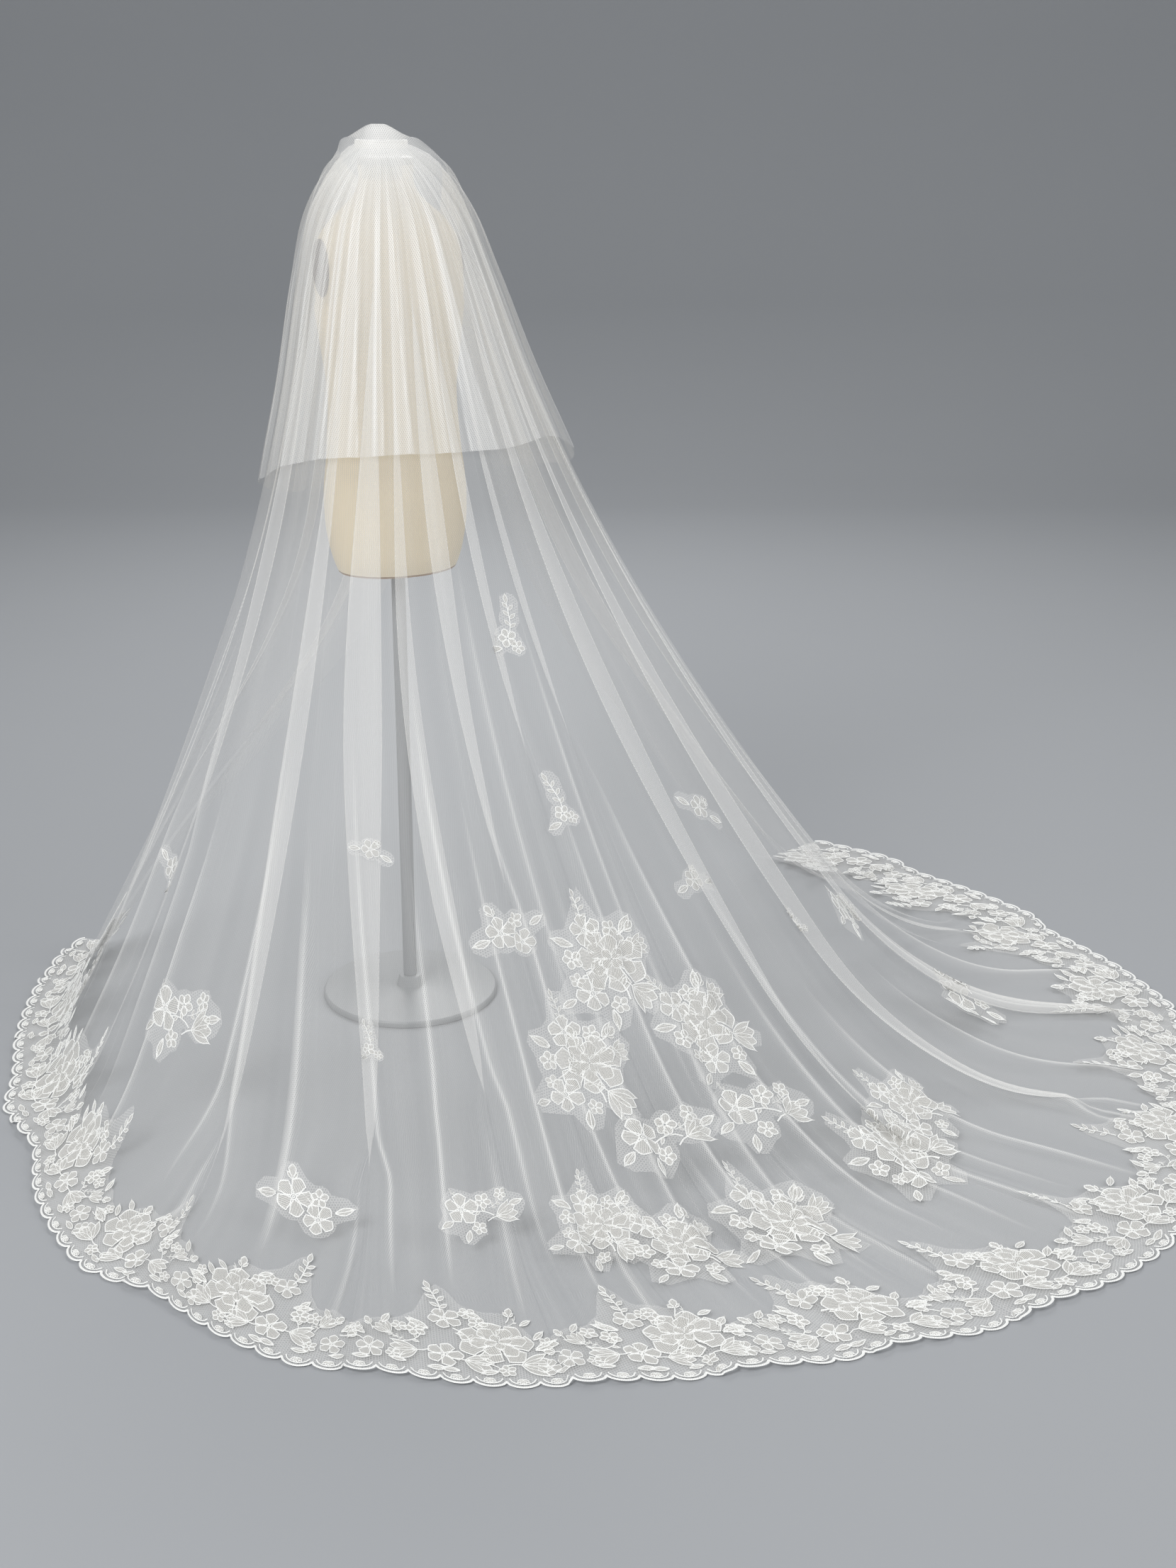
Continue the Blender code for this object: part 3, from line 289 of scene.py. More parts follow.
# A motif's place in one repeat of the edging: along it, up from the hem, turn and size
Place = namedtuple("Place", "motif along up turn size")
HEM_LAYOUT = table(Place, [
    ("peony", 0.222, 0.092, 6, 1.14), ("blossom", 0.15, 0.138, 20, 0.92),
    ("blossom", 0.142, 0.05, -15, 1.04), ("blossom", 0.034, 0.044, 10, 0.86),
    ("tulip", 0.176, 0.04, -98, 0.84), ("tulip", 0.108, 0.05, 96, 0.86),
    ("tulip", 0.256, 0.036, -84, 0.96), ("tulip", 0.066, 0.078, 34, 0.66),
    ("sprig", 0.144, 0.15, 6, 1.02), ("sprig", 0.088, 0.07, 60, 0.44),
    ("small_blossom", 0.108, 0.096, 0, 1.1), ("small_blossom", 0.178, 0.15, 14, 0.9),
    ("small_blossom", 0.232, 0.022, 0, 0.92), ("small_blossom", 0.066, 0.032, 0, 0.8),
    ("small_blossom", 0.006, 0.088, 30, 0.8), ("leaf", 0.282, 0.074, -78, 1.5),
    ("leaf", 0.278, 0.096, -50, 1.1), ("leaf", 0.124, 0.106, 62, 1.2),
    ("leaf", 0.112, 0.112, 24, 1.0), ("leaf", 0.166, 0.014, 92, 1.0),
    ("leaf", 0.118, 0.014, -88, 1.0), ("leaf", 0.09, 0.02, 88, 0.9),
    ("leaf", 0.006, 0.018, -84, 0.9), ("leaf", 0.196, 0.012, -80, 0.9),
    ("leaf", 0.024, 0.076, 60, 1.0), ("bud", 0.24, 0.146, -12, 1.2),
    ("bud", 0.036, 0.096, 40, 1.0), ("stem", 0.176, 0.096, 30, 1.0),
    ("stem", 0.208, 0.034, 76, 0.9), ("stem", 0.104, 0.076, -40, 0.9),
    ("stem", 0.246, 0.136, -30, 0.6), ("blossom", 0.292, 0.03, 40, 0.7),
    ("small_blossom", 0.196, 0.134, 30, 1.0), ("small_blossom", 0.082, 0.102, 10, 0.9),
    ("leaf", 0.204, 0.148, 60, 1.0), ("leaf", 0.054, 0.104, -30, 1.0),
    ("leaf", 0.262, 0.128, -70, 1.0), ("bud", 0.01, 0.064, 70, 1.0),
])
# Where the edging turns round: its repeats face the middle of the train from both sides
TRAIN_MIDDLE = 5.4
# How unevenly the edging's motifs are set: along it, up it, in degrees and in size, and how
# near its ends one may be
EDGING_SHIFT = 0.003
EDGING_RISES = (0.95, 1.07)
EDGING_TURN = 9.0
EDGING_SIZES = (0.94, 1.08)
EDGING_END = 0.014
# The lace sprays sewn on above the edging: the pleat each is on, its way down the cloth,
# its size, how far it leans, and the layout it has
Spray = namedtuple("Spray", "pleat down width height lean layout")
SPRAYS = table(Spray, [
    (8.96, 0.828, 0.046, 0.09, 10, "twig"), (8.93, 1.135, 0.038, 0.07, -8, "twig"),
    (11.0, 1.233, 0.062, 0.05, 30, "single"), (10.08, 1.335, 0.05, 0.056, -12, "single"),
    (5.93, 1.174, 0.042, 0.034, 0, "single"), (5.9, 1.488, 0.042, 0.05, 0, "twig"),
    (3.12, 1.3, 0.05, 0.055, 20, "single"), (7.13, 1.328, 0.08, 0.076, 5, "trio"),
    (4.02, 1.5, 0.13, 0.105, -18, "bough"), (5.05, 1.757, 0.11, 0.07, 15, "trio"),
    (6.1, 1.772, 0.096, 0.085, -10, "bough"), (8.85, 1.4, 0.14, 0.18, 12, "bouquet"),
    (9.75, 1.55, 0.13, 0.175, -16, "bouquet"), (7.94, 1.552, 0.138, 0.175, 14, "bouquet"),
    (8.45, 1.705, 0.148, 0.085, -6, "bough"), (9.86, 1.722, 0.14, 0.115, 8, "bough"),
    (7.14, 1.822, 0.118, 0.145, 18, "bouquet"), (7.98, 1.89, 0.14, 0.165, -8, "bouquet"),
    (9.01, 1.912, 0.17, 0.195, 10, "bouquet"), (10.09, 1.9, 0.17, 0.19, -12, "bouquet"),
    (10.95, 1.85, 0.132, 0.15, 9, "bouquet"), (12.1, 1.88, 0.13, 0.12, -14, "bough"),
    (12.06, 1.59, 0.12, 0.085, 25, "bough"), (11.76, 1.5, 0.045, 0.045, 0, "twig"),
])
SPRAY_SPREAD = 1.12
SPRAY_FULL = 1.24
SPRAY_LARGEST = 1.12
SPRAY_TURN = 8.0
SPRAY_SIZES = (0.95, 1.05)
# How far the ground net reaches: at least, and inside the edge of a motif's disc
CUT_LEAST = 0.012
CUT_INSIDE = 0.0015
# The size that each layout is drawn at
LAYOUT_SIZES = {"bouquet": 0.178, "bough": 0.118, "trio": 0.085, "single": 0.055, "twig": 0.068}
# How far each motif reaches from its own place: round discs, forward of it and in radius
Disc = namedtuple("Disc", "forward radius")
MOTIF_DISCS = {
    "peony": table(Disc, [(0.0, 0.054)]),
    "blossom": table(Disc, [(0.0, 0.033)]),
    "small_blossom": table(Disc, [(0.0, 0.022)]),
    "tulip": table(Disc, [(0.014, 0.024), (0.036, 0.026)]),
    "leaf": table(Disc, [(0.014, 0.02)]),
    "bud": table(Disc, [(0.004, 0.02)]),
    "stem": table(Disc, [(0.0, 0.018)]),
    "sprig": table(Disc, [(0.03, 0.024), (0.062, 0.025)]),
}
# Layouts of the sprays, in shares of their width and height about the middle; size is the
# motif's own size over the spray's height, or over its width for the low ones
LAYOUTS = {
    "single": table(Place, [
        ("blossom", 0.0, 0.05, 15, 0.62), ("leaf", 0.34, -0.18, -110, 0.8),
        ("leaf", -0.34, 0.02, 80, 0.8), ("small_blossom", 0.24, 0.3, 0, 0.45),
    ]),
    "twig": table(Place, [
        ("sprig", 0.0, -0.1, 4, 0.62), ("small_blossom", -0.1, -0.2, 0, 0.8),
        ("small_blossom", 0.22, -0.34, 30, 0.6), ("leaf", -0.3, -0.38, 100, 0.7),
    ]),
    "trio": table(Place, [
        ("blossom", -0.2, 0.02, 10, 0.9), ("blossom", 0.24, -0.14, 50, 0.72),
        ("small_blossom", 0.12, 0.28, 0, 0.8), ("leaf", -0.42, -0.14, 110, 1.0),
        ("leaf", 0.4, 0.18, -50, 0.9), ("bud", -0.32, 0.36, 30, 0.9),
        ("stem", 0.02, 0.1, 60, 0.6),
    ]),
    "bough": table(Place, [
        ("blossom", -0.28, 0.1, 0, 1.0), ("tulip", 0.2, -0.12, -76, 0.72),
        ("small_blossom", 0.06, 0.2, 20, 0.92), ("small_blossom", 0.34, 0.26, 0, 0.74),
        ("small_blossom", -0.1, -0.28, 0, 0.8), ("sprig", 0.12, 0.06, -70, 0.44),
        ("sprig", -0.26, 0.2, 16, 0.36), ("leaf", -0.44, -0.12, 120, 0.9),
        ("leaf", 0.4, 0.02, -80, 0.9), ("leaf", -0.24, -0.3, 160, 0.9),
        ("stem", 0.0, 0.0, 80, 0.8),
    ]),
    "bouquet": table(Place, [
        ("peony", 0.08, 0.0, 20, 0.92), ("blossom", -0.16, 0.24, 10, 0.86),
        ("blossom", -0.2, -0.3, 40, 0.9), ("tulip", 0.26, -0.22, -120, 0.82),
        ("tulip", 0.34, 0.12, -70, 0.56), ("sprig", -0.18, 0.3, 6, 0.6),
        ("small_blossom", -0.36, -0.02, 0, 0.94), ("small_blossom", 0.12, 0.26, 30, 0.8),
        ("small_blossom", 0.1, -0.38, 0, 0.8), ("small_blossom", -0.34, -0.2, 50, 0.7),
        ("leaf", -0.32, 0.1, 70, 1.1), ("leaf", 0.24, 0.24, -30, 1.0),
        ("leaf", 0.02, -0.42, 190, 1.0), ("leaf", -0.38, -0.36, 120, 0.9),
        ("bud", 0.3, 0.26, -40, 1.0), ("bud", -0.06, 0.2, 20, 1.0),
        ("stem", 0.12, -0.2, 40, 1.0), ("stem", -0.14, -0.06, -30, 1.0),
    ]),
}

# The dress form
Level = namedtuple("Level", "height half_width half_depth")
BODY_LEVELS = table(Level, [
    (0.835, 0.108, 0.082), (0.85, 0.114, 0.087), (0.9, 0.126, 0.095), (0.96, 0.13, 0.098),
    (1.06, 0.121, 0.09), (1.15, 0.116, 0.086), (1.24, 0.126, 0.093), (1.31, 0.134, 0.097),
    (1.37, 0.134, 0.092), (1.415, 0.121, 0.08), (1.445, 0.097, 0.066), (1.468, 0.07, 0.054),
    (1.485, 0.054, 0.049), (1.5, 0.0477, 0.0477), (1.53, 0.0477, 0.0477),
])
BINDING_TOP = 0.8385
# The jersey lies this far inside its solid, and is drawn in at its seams: their bearings,
# half width in degrees, depth, and the height they end at
JERSEY_INSIDE = 0.0006
BODY_SEAMS = (0.0, 62.0, 90.0, 118.0, 180.0, 242.0, 270.0, 298.0)
BODY_SEAM_WIDTH = 1.9
BODY_SEAM_DEPTH = 0.0009
BODY_SEAM_TOP = 1.49
NECK_RADIUS = 0.0477
ARMHOLE_X = 0.1200
ARMHOLE_HEIGHT = 1.365
ARMHOLE_HALF_HEIGHT = 0.048
ARMHOLE_HALF_DEPTH = 0.040
SEAM_GAP = 0.0003
POLE_RADIUS = 0.0125
POLE_BEVEL = 0.0005
POLE_ROUNDED = 0.0008
# Profiles as heights and radii: the neck cap's above the body, the base's above the floor
CAP_PROFILE = [
    (0.0, 0.0455), (0.001, 0.0472), (0.003, 0.0477), (0.008, 0.0477),
    (0.0105, 0.0462), (0.0125, 0.043), (0.0136, 0.038), (0.014, 0.03),
]
BASE_PROFILE = [
    (0.0, 0.164), (0.0008, 0.165), (0.0072, 0.165), (0.0095, 0.1642), (0.0115, 0.162),
    (0.0122, 0.158), (0.0138, 0.029), (0.015, 0.0262), (0.033, 0.0212), (0.0345, 0.0204),
    (0.035, 0.019),
]
COLLAR_HEIGHT = 0.035
COMB_TEETH = 15
COMB_HALF_ANGLE = 44.0
COMB_THICKNESS = 0.0026
COMB_TOOTH_ROOT = 1.5475
COMB_TOP = 1.5582
BAND_TOP = 1.5720
STITCHES = 26
STITCHES_HALF_ANGLE = 50.0
STITCH_SUNK = 0.0004

# The camera: where it stands, how far it looks round from +Y, and how far down
CAMERA_PLACE = (-1.296, -3.585, 1.803)
CAMERA_TURN = 25.0
CAMERA_DOWN = 20.0
CAMERA_LENS = 50.0
CAMERA_SENSOR = 36.0
CAMERA_SIGHT = 60.0

# The studio paper: it runs from behind the camera to a cove and up the wall
PAPER_FRONT = -6.0
PAPER_BACK = 4.2
PAPER_COVE = 1.6
PAPER_TOP = 7.0
PAPER_HALF_WIDTH = 9.0
PAPER_COLUMNS = 13
PAPER_BELOW = 0.0004
# The soft square lights: where each is, where it looks, its side and its part of the power
Lamp = namedtuple("Lamp", "name place target side part")
LAMPS = table(Lamp, [
    ("key", (-3.2, -2.6, 3.6), (0.1, -0.3, 0.7), 2.2, 1.0),
    ("fill", (3.4, -3.0, 2.6), (0.3, -0.4, 0.5), 2.6, 0.45),
    ("back", (1.6, 3.0, 3.4), (0.2, -0.2, 0.9), 2.2, 0.55),
])
AIR_STRENGTH = 0.55
# Layers of net and lace that light may pass before it is stopped
SEEN_THROUGH = 24


def linear(colour):
    """An sRGB hex colour as linear red, green, blue and alpha."""
    parts = [int(colour[i : i + 2], 16) / 255.0 for i in (1, 3, 5)]
    return (*[p / 12.92 if p <= 0.04045 else ((p + 0.055) / 1.055) ** 2.4 for p in parts], 1.0)


def smooth(value, start, end):
    """A soft step from 0 at start to 1 at end."""
    share = np.clip((value - start) / (end - start), 0.0, 1.0)
    return share * share * (3.0 - 2.0 * share)


def curve(rows, key, column, value):
    """Read a table's column at values of its key, on one smooth curve through the rows."""
    keys = np.array([getattr(row, key) for row in rows], float)
    values = np.array([getattr(row, column) for row in rows], float)
    slopes = np.gradient(values, keys)
    value = np.clip(value, keys[0], keys[-1])
    index = np.clip(np.searchsorted(keys, value) - 1, 0, len(keys) - 2)
    step = keys[index + 1] - keys[index]
    t = (value - keys[index]) / step
    return (
        (2 * t**3 - 3 * t**2 + 1) * values[index]
        + (t**3 - 2 * t**2 + t) * step * slopes[index]
        + (3 * t**2 - 2 * t**3) * values[index + 1]
        + (t**3 - t**2) * step * slopes[index + 1]
    )


def spread(bearing, column):
    """One measure of the cloth's spread at a bearing."""
    return curve(MERIDIANS, "bearing", column, bearing)


def hem_drop(bearing):
    """The drop, counted on past the landing, at which the cloth reaches its hem."""
    slope = spread(bearing, "flare") * (spread(bearing, "landing") - spread(bearing, "shoulder"))
    return 1.0 + (spread(bearing, "hem") - spread(bearing, "landing")) / slope


def panel_bearing(top, floor, drop):
    """A line of the cloth hangs at one bearing high up and at another on the floor."""
    return top + (floor - top) * smooth(drop, EDGE_PARTS_FROM, EDGE_PARTS_TO)


SEAM_DROP = 1.0 - SEAM_HEIGHT / VEIL_TOP


def base_radius(bearing, drop):
    """Distance of the cloth's middle from the pole."""
    shoulder = spread(bearing, "shoulder")
    flare = spread(bearing, "flare")
    seam = np.exp(-np.maximum(drop - SEAM_DROP, 0.0) / SHOULDER_FALL)
    reach = spread(bearing, "landing") - shoulder
    high = shoulder * (1.0 - seam) + reach * np.clip(drop, 0.0, 1.0) ** flare
    low = shoulder + reach * (1.0 + flare * (drop - 1.0))
    return np.where(drop <= 1.0, high, low) + SEAM_RADIUS * seam


def base_height(bearing, drop):
    """Height of the cloth's middle, which turns softly onto the floor."""
    fall = VEIL_TOP * (1.0 - drop)
    room = TURN_SHARE * (hem_drop(bearing) - 1.0) * VEIL_TOP + TURN_LEAST
    soft = np.minimum(spread(bearing, "softness"), room)
    turned = np.where(
        fall > soft, fall, np.where(fall < -soft, 0.0, (fall + soft) ** 2 / (4.0 * soft))
    )
    return turned + NET_WALL / 2.0


def seam_bearing(bearing):
    """Where on the arc of the seam a line of the cloth is gathered."""
    middle = (LEFT_EDGE_TOP + RIGHT_EDGE_TOP) / 2.0
    half = (RIGHT_EDGE_TOP - LEFT_EDGE_TOP) / 2.0
    return SEAM_BEARING + (bearing - middle) / half * SEAM_HALF_ANGLE


def base_point(bearing, drop):
    """Points of the cloth's middle surface, fanned out from the arc of the seam."""
    near = np.exp(-np.maximum(drop - SEAM_DROP, 0.0) / SIDE_SWEEP)
    angle = np.radians(bearing + (seam_bearing(bearing) - bearing) * near)
    radius = base_radius(bearing, drop)
    return np.stack(
        [radius * np.cos(angle), radius * np.sin(angle), base_height(bearing, drop)], -1
    )


def base_normal(bearing, drop):
    """The outward direction of the cloth's middle surface."""
    around = base_point(bearing + BEARING_STEP, drop) - base_point(bearing - BEARING_STEP, drop)
    down = base_point(bearing, drop + DROP_STEP) - base_point(bearing, drop - DROP_STEP)
    normal = np.cross(down, around)
    return normal / np.linalg.norm(normal, axis=-1, keepdims=True)


def square_width(bearing, drop):
    """Width of the cloth in one degree, measured square to its fall."""
    around = base_point(bearing + BEARING_STEP, drop) - base_point(bearing - BEARING_STEP, drop)
    down = base_point(bearing, drop + DROP_STEP) - base_point(bearing, drop)
    return np.linalg.norm(np.cross(down, around), axis=-1) / np.linalg.norm(down, axis=-1)


def fold_section(left, right, band, height, step):
    """Six places across a pleat: a flat Z of three layers where the band is wide, opening
    into a soft trough beside a soft ridge as the band runs out."""
    half = band / 2.0
    low = np.minimum(height, 0.30 * half + 0.0008)
    bend = np.minimum(np.clip(0.25 * low, FOLD_BEND_LEAST, FOLD_BEND_MOST), 0.45 * low)
    flat = [
        (half - bend, -low),
        (half, bend - low),
        (half - bend, 2.0 * bend - low),
        (bend - half, low - 2.0 * bend),
        (-half, low - bend),
        (bend - half, low),
    ]
    near_left = 0.10 * left + (0.20 * height - 0.10 * left) * step
    near_right = 0.10 * right + (0.20 * height - 0.10 * right) * step
    soft = [
        (-0.50 * left, -0.80 * height),
        (-0.28 * left, -height),
        (-near_left, -0.50 * height),
        (near_right, 0.50 * height),
        (0.28 * right, height),
        (0.50 * right, 0.80 * height),
    ]
    share = smooth(half, 0.0, FLAT_HALF_BAND)
    return [
        ((1 - share) * sx + share * fx, (1 - share) * sy + share * fy)
        for (sx, sy), (fx, fy) in zip(soft, flat)
    ]


def band_width(pleat, drop, room):
    """Width of the doubled band: it opens below the seam and runs out at its tip."""
    opening = smooth(drop, SEAM_TO_BAND, max(pleat.widest, BAND_OPEN))
    past = np.maximum(drop - pleat.widest, 0.0) / (pleat.tip - pleat.widest)
    return np.minimum(pleat.band * opening, BAND_SHARE * room) * np.maximum(1.0 - past**1.3, 0.0)


def pleat_bounds(pleats):
    """Bearings, high up and at the floor, of the lines between the pleats: high up each
    leaves the wider of its two bands more room."""
    inner = []
    for before, after in zip(pleats, pleats[1:]):
        share = before.band / (before.band + after.band)
        top = before.top + (after.top - before.top) * share
        inner.append((top, (before.floor + after.floor) / 2.0))
    return [(LEFT_EDGE_TOP, LEFT_EDGE_FLOOR), *inner, (RIGHT_EDGE_TOP, RIGHT_EDGE_FLOOR)]


def fold_height(drop):
    return curve(LONG_FOLDS, "drop", "height", drop)


def row_drops(bearing):
    """Drops of the long tier's rows at a bearing: close near the seam, even to the hem."""
    high = SEAM_DROP + (LANDING_START - SEAM_DROP) * np.linspace(0.0, 1.0, HIGH_ROWS) ** 1.5
    end = hem_drop(bearing)
    low = LANDING_START + (end - LANDING_START) * np.linspace(0.0, 1.0, LOW_ROWS + 1)[1:]
    slope = spread(bearing, "flare") * (spread(bearing, "landing") - spread(bearing, "shoulder"))
    return np.concatenate([high, low, [end + HEM_BEYOND / slope]])


def panel_points(top, floor, sideways, outward, drop):
    """Points beside a line of the cloth, moved along the cloth and off it."""
    bearing = panel_bearing(top, floor, drop)
    bearing = bearing + np.degrees(sideways / base_radius(bearing, drop))
    normal = base_normal(bearing, drop)
    lift = outward + fold_height(drop) * smooth(drop, LIFT_FROM, LIFT_TO)
    return base_point(bearing, drop) + normal * lift[:, None], normal


def between_points(before, line, after):
    """A line halfway between two pleats, crowned outwards as the panel there curves."""
    drop = row_drops(line[1])
    width = panel_bearing(after.top, after.floor, drop) - panel_bearing(
        before.top, before.floor, drop
    )
    bearing = panel_bearing(line[0], line[1], drop)
    crown = base_radius(bearing, drop) * (1.0 - np.cos(np.radians(width / 2.0))) * PANEL_CROWN
    upright = np.linalg.norm(base_normal(bearing, drop)[:, :2], axis=1)
    far = smooth(drop, SEAM_DROP, SEAM_TO_BAND)
    return (*panel_points(*line, 0.0 * drop, crown * upright * far, drop), drop, 0.0 * drop)


def pleat_lines(pleat, first, last):
    """The six lines across a pleat of the long tier."""
    drop = row_drops(pleat.floor)
    middle = panel_bearing(pleat.top, pleat.floor, drop)
    radius = base_radius(middle, drop)
    left = np.radians(middle - panel_bearing(*first, drop)) * radius
    right = np.radians(panel_bearing(*last, drop) - middle) * radius
    room = 2.0 * np.minimum(left, right)
    band = band_width(pleat, drop, room)
    wave = SOFT_WAVE * np.degrees(room / radius) * square_width(middle, drop)
    height = np.minimum(fold_height(drop), wave + band)
    crisp = smooth(drop, SEAM_TO_BAND, 2.5 * SEAM_TO_BAND)
    edge = smooth(band / 2.0, 0.6 * FLAT_HALF_BAND, 1.5 * FLAT_HALF_BAND)
    loose = LOOSE_AT_TIP + (1.0 - LOOSE_AT_TIP) * smooth(drop, pleat.tip, pleat.tip + LOOSE_RUN)
    left, right = left * loose, right * loose
    return [
        (
            *panel_points(pleat.top, pleat.floor, sideways, outward, drop), drop,
            edge * (number in (1, 4)),
        )
        for number, (sideways, outward) in enumerate(
            fold_section(left, right, band, height, crisp)
        )
    ]


def even_stops(counts):
    """Even shares of each gap, so many to a gap."""
    return [np.arange(count) / count for count in counts]


def spline_across(grid, stops):
    """Smooth curves through the columns of a grid, read at some shares of each gap."""
    padded = np.concatenate(
        [2 * grid[:, :1] - grid[:, 1:2], grid, 2 * grid[:, -1:] - grid[:, -2:-1]], 1
    )
    made = []
    for gap, shares in enumerate(stops):
        p = [padded[:, gap + i] for i in range(4)]
        knots = [np.zeros((len(grid), 1))]
        for a, b in zip(p, p[1:]):
            span = np.linalg.norm(b[:, :3] - a[:, :3], axis=1, keepdims=True) ** 0.5
            knots.append(knots[-1] + np.maximum(span, 1e-4))
        k0, k1, k2, k3 = knots
        for share in (*shares, 1.0) if gap == len(stops) - 1 else shares:
            t = k1 + (k2 - k1) * share
            a1 = ((k1 - t) * p[0] + (t - k0) * p[1]) / (k1 - k0)
            a2 = ((k2 - t) * p[1] + (t - k1) * p[2]) / (k2 - k1)
            a3 = ((k3 - t) * p[2] + (t - k2) * p[3]) / (k3 - k2)
            b1 = ((k2 - t) * a1 + (t - k0) * a2) / (k2 - k0)
            b2 = ((k3 - t) * a2 + (t - k1) * a3) / (k3 - k1)
            made.append(((k2 - t) * b1 + (t - k1) * b2) / (k2 - k1))
    return np.stack(made, 1)


def cells(places, count):
    """The cell that each fractional place lies in, and how far across it."""
    cell = np.clip(places.astype(int), 0, count - 2)
    return cell, places - cell


class Cloth:
    """A draped sheet as a fine grid of points, with its distances across and down."""

    def __init__(self, points, outward, drops, at):
        self.points = points
        self.outward = outward
        self.drops = drops
        self.at = at
        self.layers = np.ones(points.shape[:2])
        self.measure()

    def measure(self):
        """Work out distances over the sheet and the directions it faces."""
        across = np.linalg.norm(np.diff(self.points, axis=1), axis=2)
        down = np.linalg.norm(np.diff(self.points, axis=0), axis=2)
        self.across = np.concatenate([np.zeros((len(across), 1)), np.cumsum(across, 1)], 1)
        self.down = np.concatenate([np.zeros((1, down.shape[1])), np.cumsum(down, 0)], 0)
        facing = np.cross(np.gradient(self.points, axis=0), np.gradient(self.points, axis=1))
        self.normal = facing / np.maximum(np.linalg.norm(facing, axis=2, keepdims=True), 1e-12)

    def crease(self, creases):
        """Press soft ridges and troughs into the sheet, each along one line of its fall."""
        columns = np.arange(len(self.at))
        for crease in creases:
            column = np.interp(crease.at, self.at, columns)
            left = min(int(column), len(columns) - 2)
            near, far = self.across[:, left], self.across[:, left + 1]
            centre = near + (far - near) * (column - left)
            away = (self.across - centre[:, None]) / crease.width
            fade = CREASE_FADE * (crease.end - crease.start)
            share = smooth(self.drops, crease.start, crease.start + fade)
            share = share * (1.0 - smooth(self.drops, crease.end - fade, crease.end))
            self.points += self.outward * (crease.lift * np.exp(-(away**2)) * share)[:, :, None]
            line = CREASE_LINE_PART * np.exp(-((CREASE_LINE * away) ** 2))
            halo = CREASE_HALO_PART * np.exp(-((CREASE_HALO * away) ** 2))
            self.layers += crease.gather * (line + halo) * share
        self.measure()

    def press(self, folds):
        """Lay flat folds on the sheet: more layers between two lines, brightest at them."""
        for fold in folds:
            share = smooth(self.drops, fold.start, fold.end)
            middle = fold.head + (fold.foot - fold.head) * share
            half = (fold.wide_head + (fold.wide_foot - fold.wide_head) * share) / 2.0
            away = half - np.abs(self.at[None, :] - middle)
            edge = np.exp(-((away / PRESSED_EDGE) ** 2))
            inside = np.clip(away / PRESSED_EDGE + 0.5, 0.0, 1.0)
            begun = smooth(self.drops, fold.start, fold.start + PRESSED_FADE)
            self.layers += (
                PRESSED_LAYERS * fold.gather * inside + PRESSED_EDGE_LAYERS * edge
            ) * begun

    def gather(self, cut):
        """Count the layers of net where the sheet hangs narrower than it was cut."""
        width = np.interp(self.drops, [row.drop for row in cut], [row.width for row in cut])
        gathered = np.clip(width / self.across[:, -1:], 1.0, MOST_LAYERS)
        self.layers *= gathered

    def place(self, column, row, lift):
        """Points of the sheet at fractional columns and rows, moved out by lift."""
        c, u = cells(column, len(self.at))
        r, v = cells(row, len(self.points))
        u, v = u[:, None], v[:, None]

        def blend(grid):
            top = grid[r, c] * (1 - u) + grid[r, c + 1] * u
            low = grid[r + 1, c] * (1 - u) + grid[r + 1, c + 1] * u
            return top * (1 - v) + low * v

        found = blend(self.points) + blend(self.normal) * lift[:, None]
        found[:, 2] = np.maximum(found[:, 2], 0.0006 + 0.5 * lift)
        return found

    def row_at(self, column, distance):
        """Rows at which columns have run a distance down from the seam."""
        c, f = cells(column, len(self.at))
        scale = self.down[:, c] * (1 - f) + self.down[:, c + 1] * f
        row = np.clip((scale < distance).sum(0) - 1, 0, len(scale) - 2)
        pick = np.arange(len(column))
        return row + (distance - scale[row, pick]) / (scale[row + 1, pick] - scale[row, pick])

    def hem_place(self, along, up, lift, hem_row):
        """Points of the sheet given along its hem and up from it."""
        column = np.interp(along, self.across[hem_row], np.arange(len(self.at)))
        c, f = cells(column, len(self.at))
        hem = self.down[hem_row, c] * (1 - f) + self.down[hem_row, c + 1] * f
        return self.place(column, self.row_at(column, hem - up), lift)

    def spray_place(self, at, down, sideways, rise, lift):
        """Points of the sheet beside and above one place on it."""
        column = np.interp(at, self.at, np.arange(len(self.at)))
        row = self.row_at(np.full(len(rise), column), down - rise)
        columns = np.empty(len(rise))
        for i, (low, share, aside) in enumerate(zip(*cells(row, len(self.points)), sideways)):
            scale = self.across[low] * (1 - share) + self.across[low + 1] * share
            start = np.interp(column, np.arange(len(scale)), scale)
            columns[i] = np.interp(start + aside, scale, np.arange(len(scale)))
        return self.place(columns, row, lift)


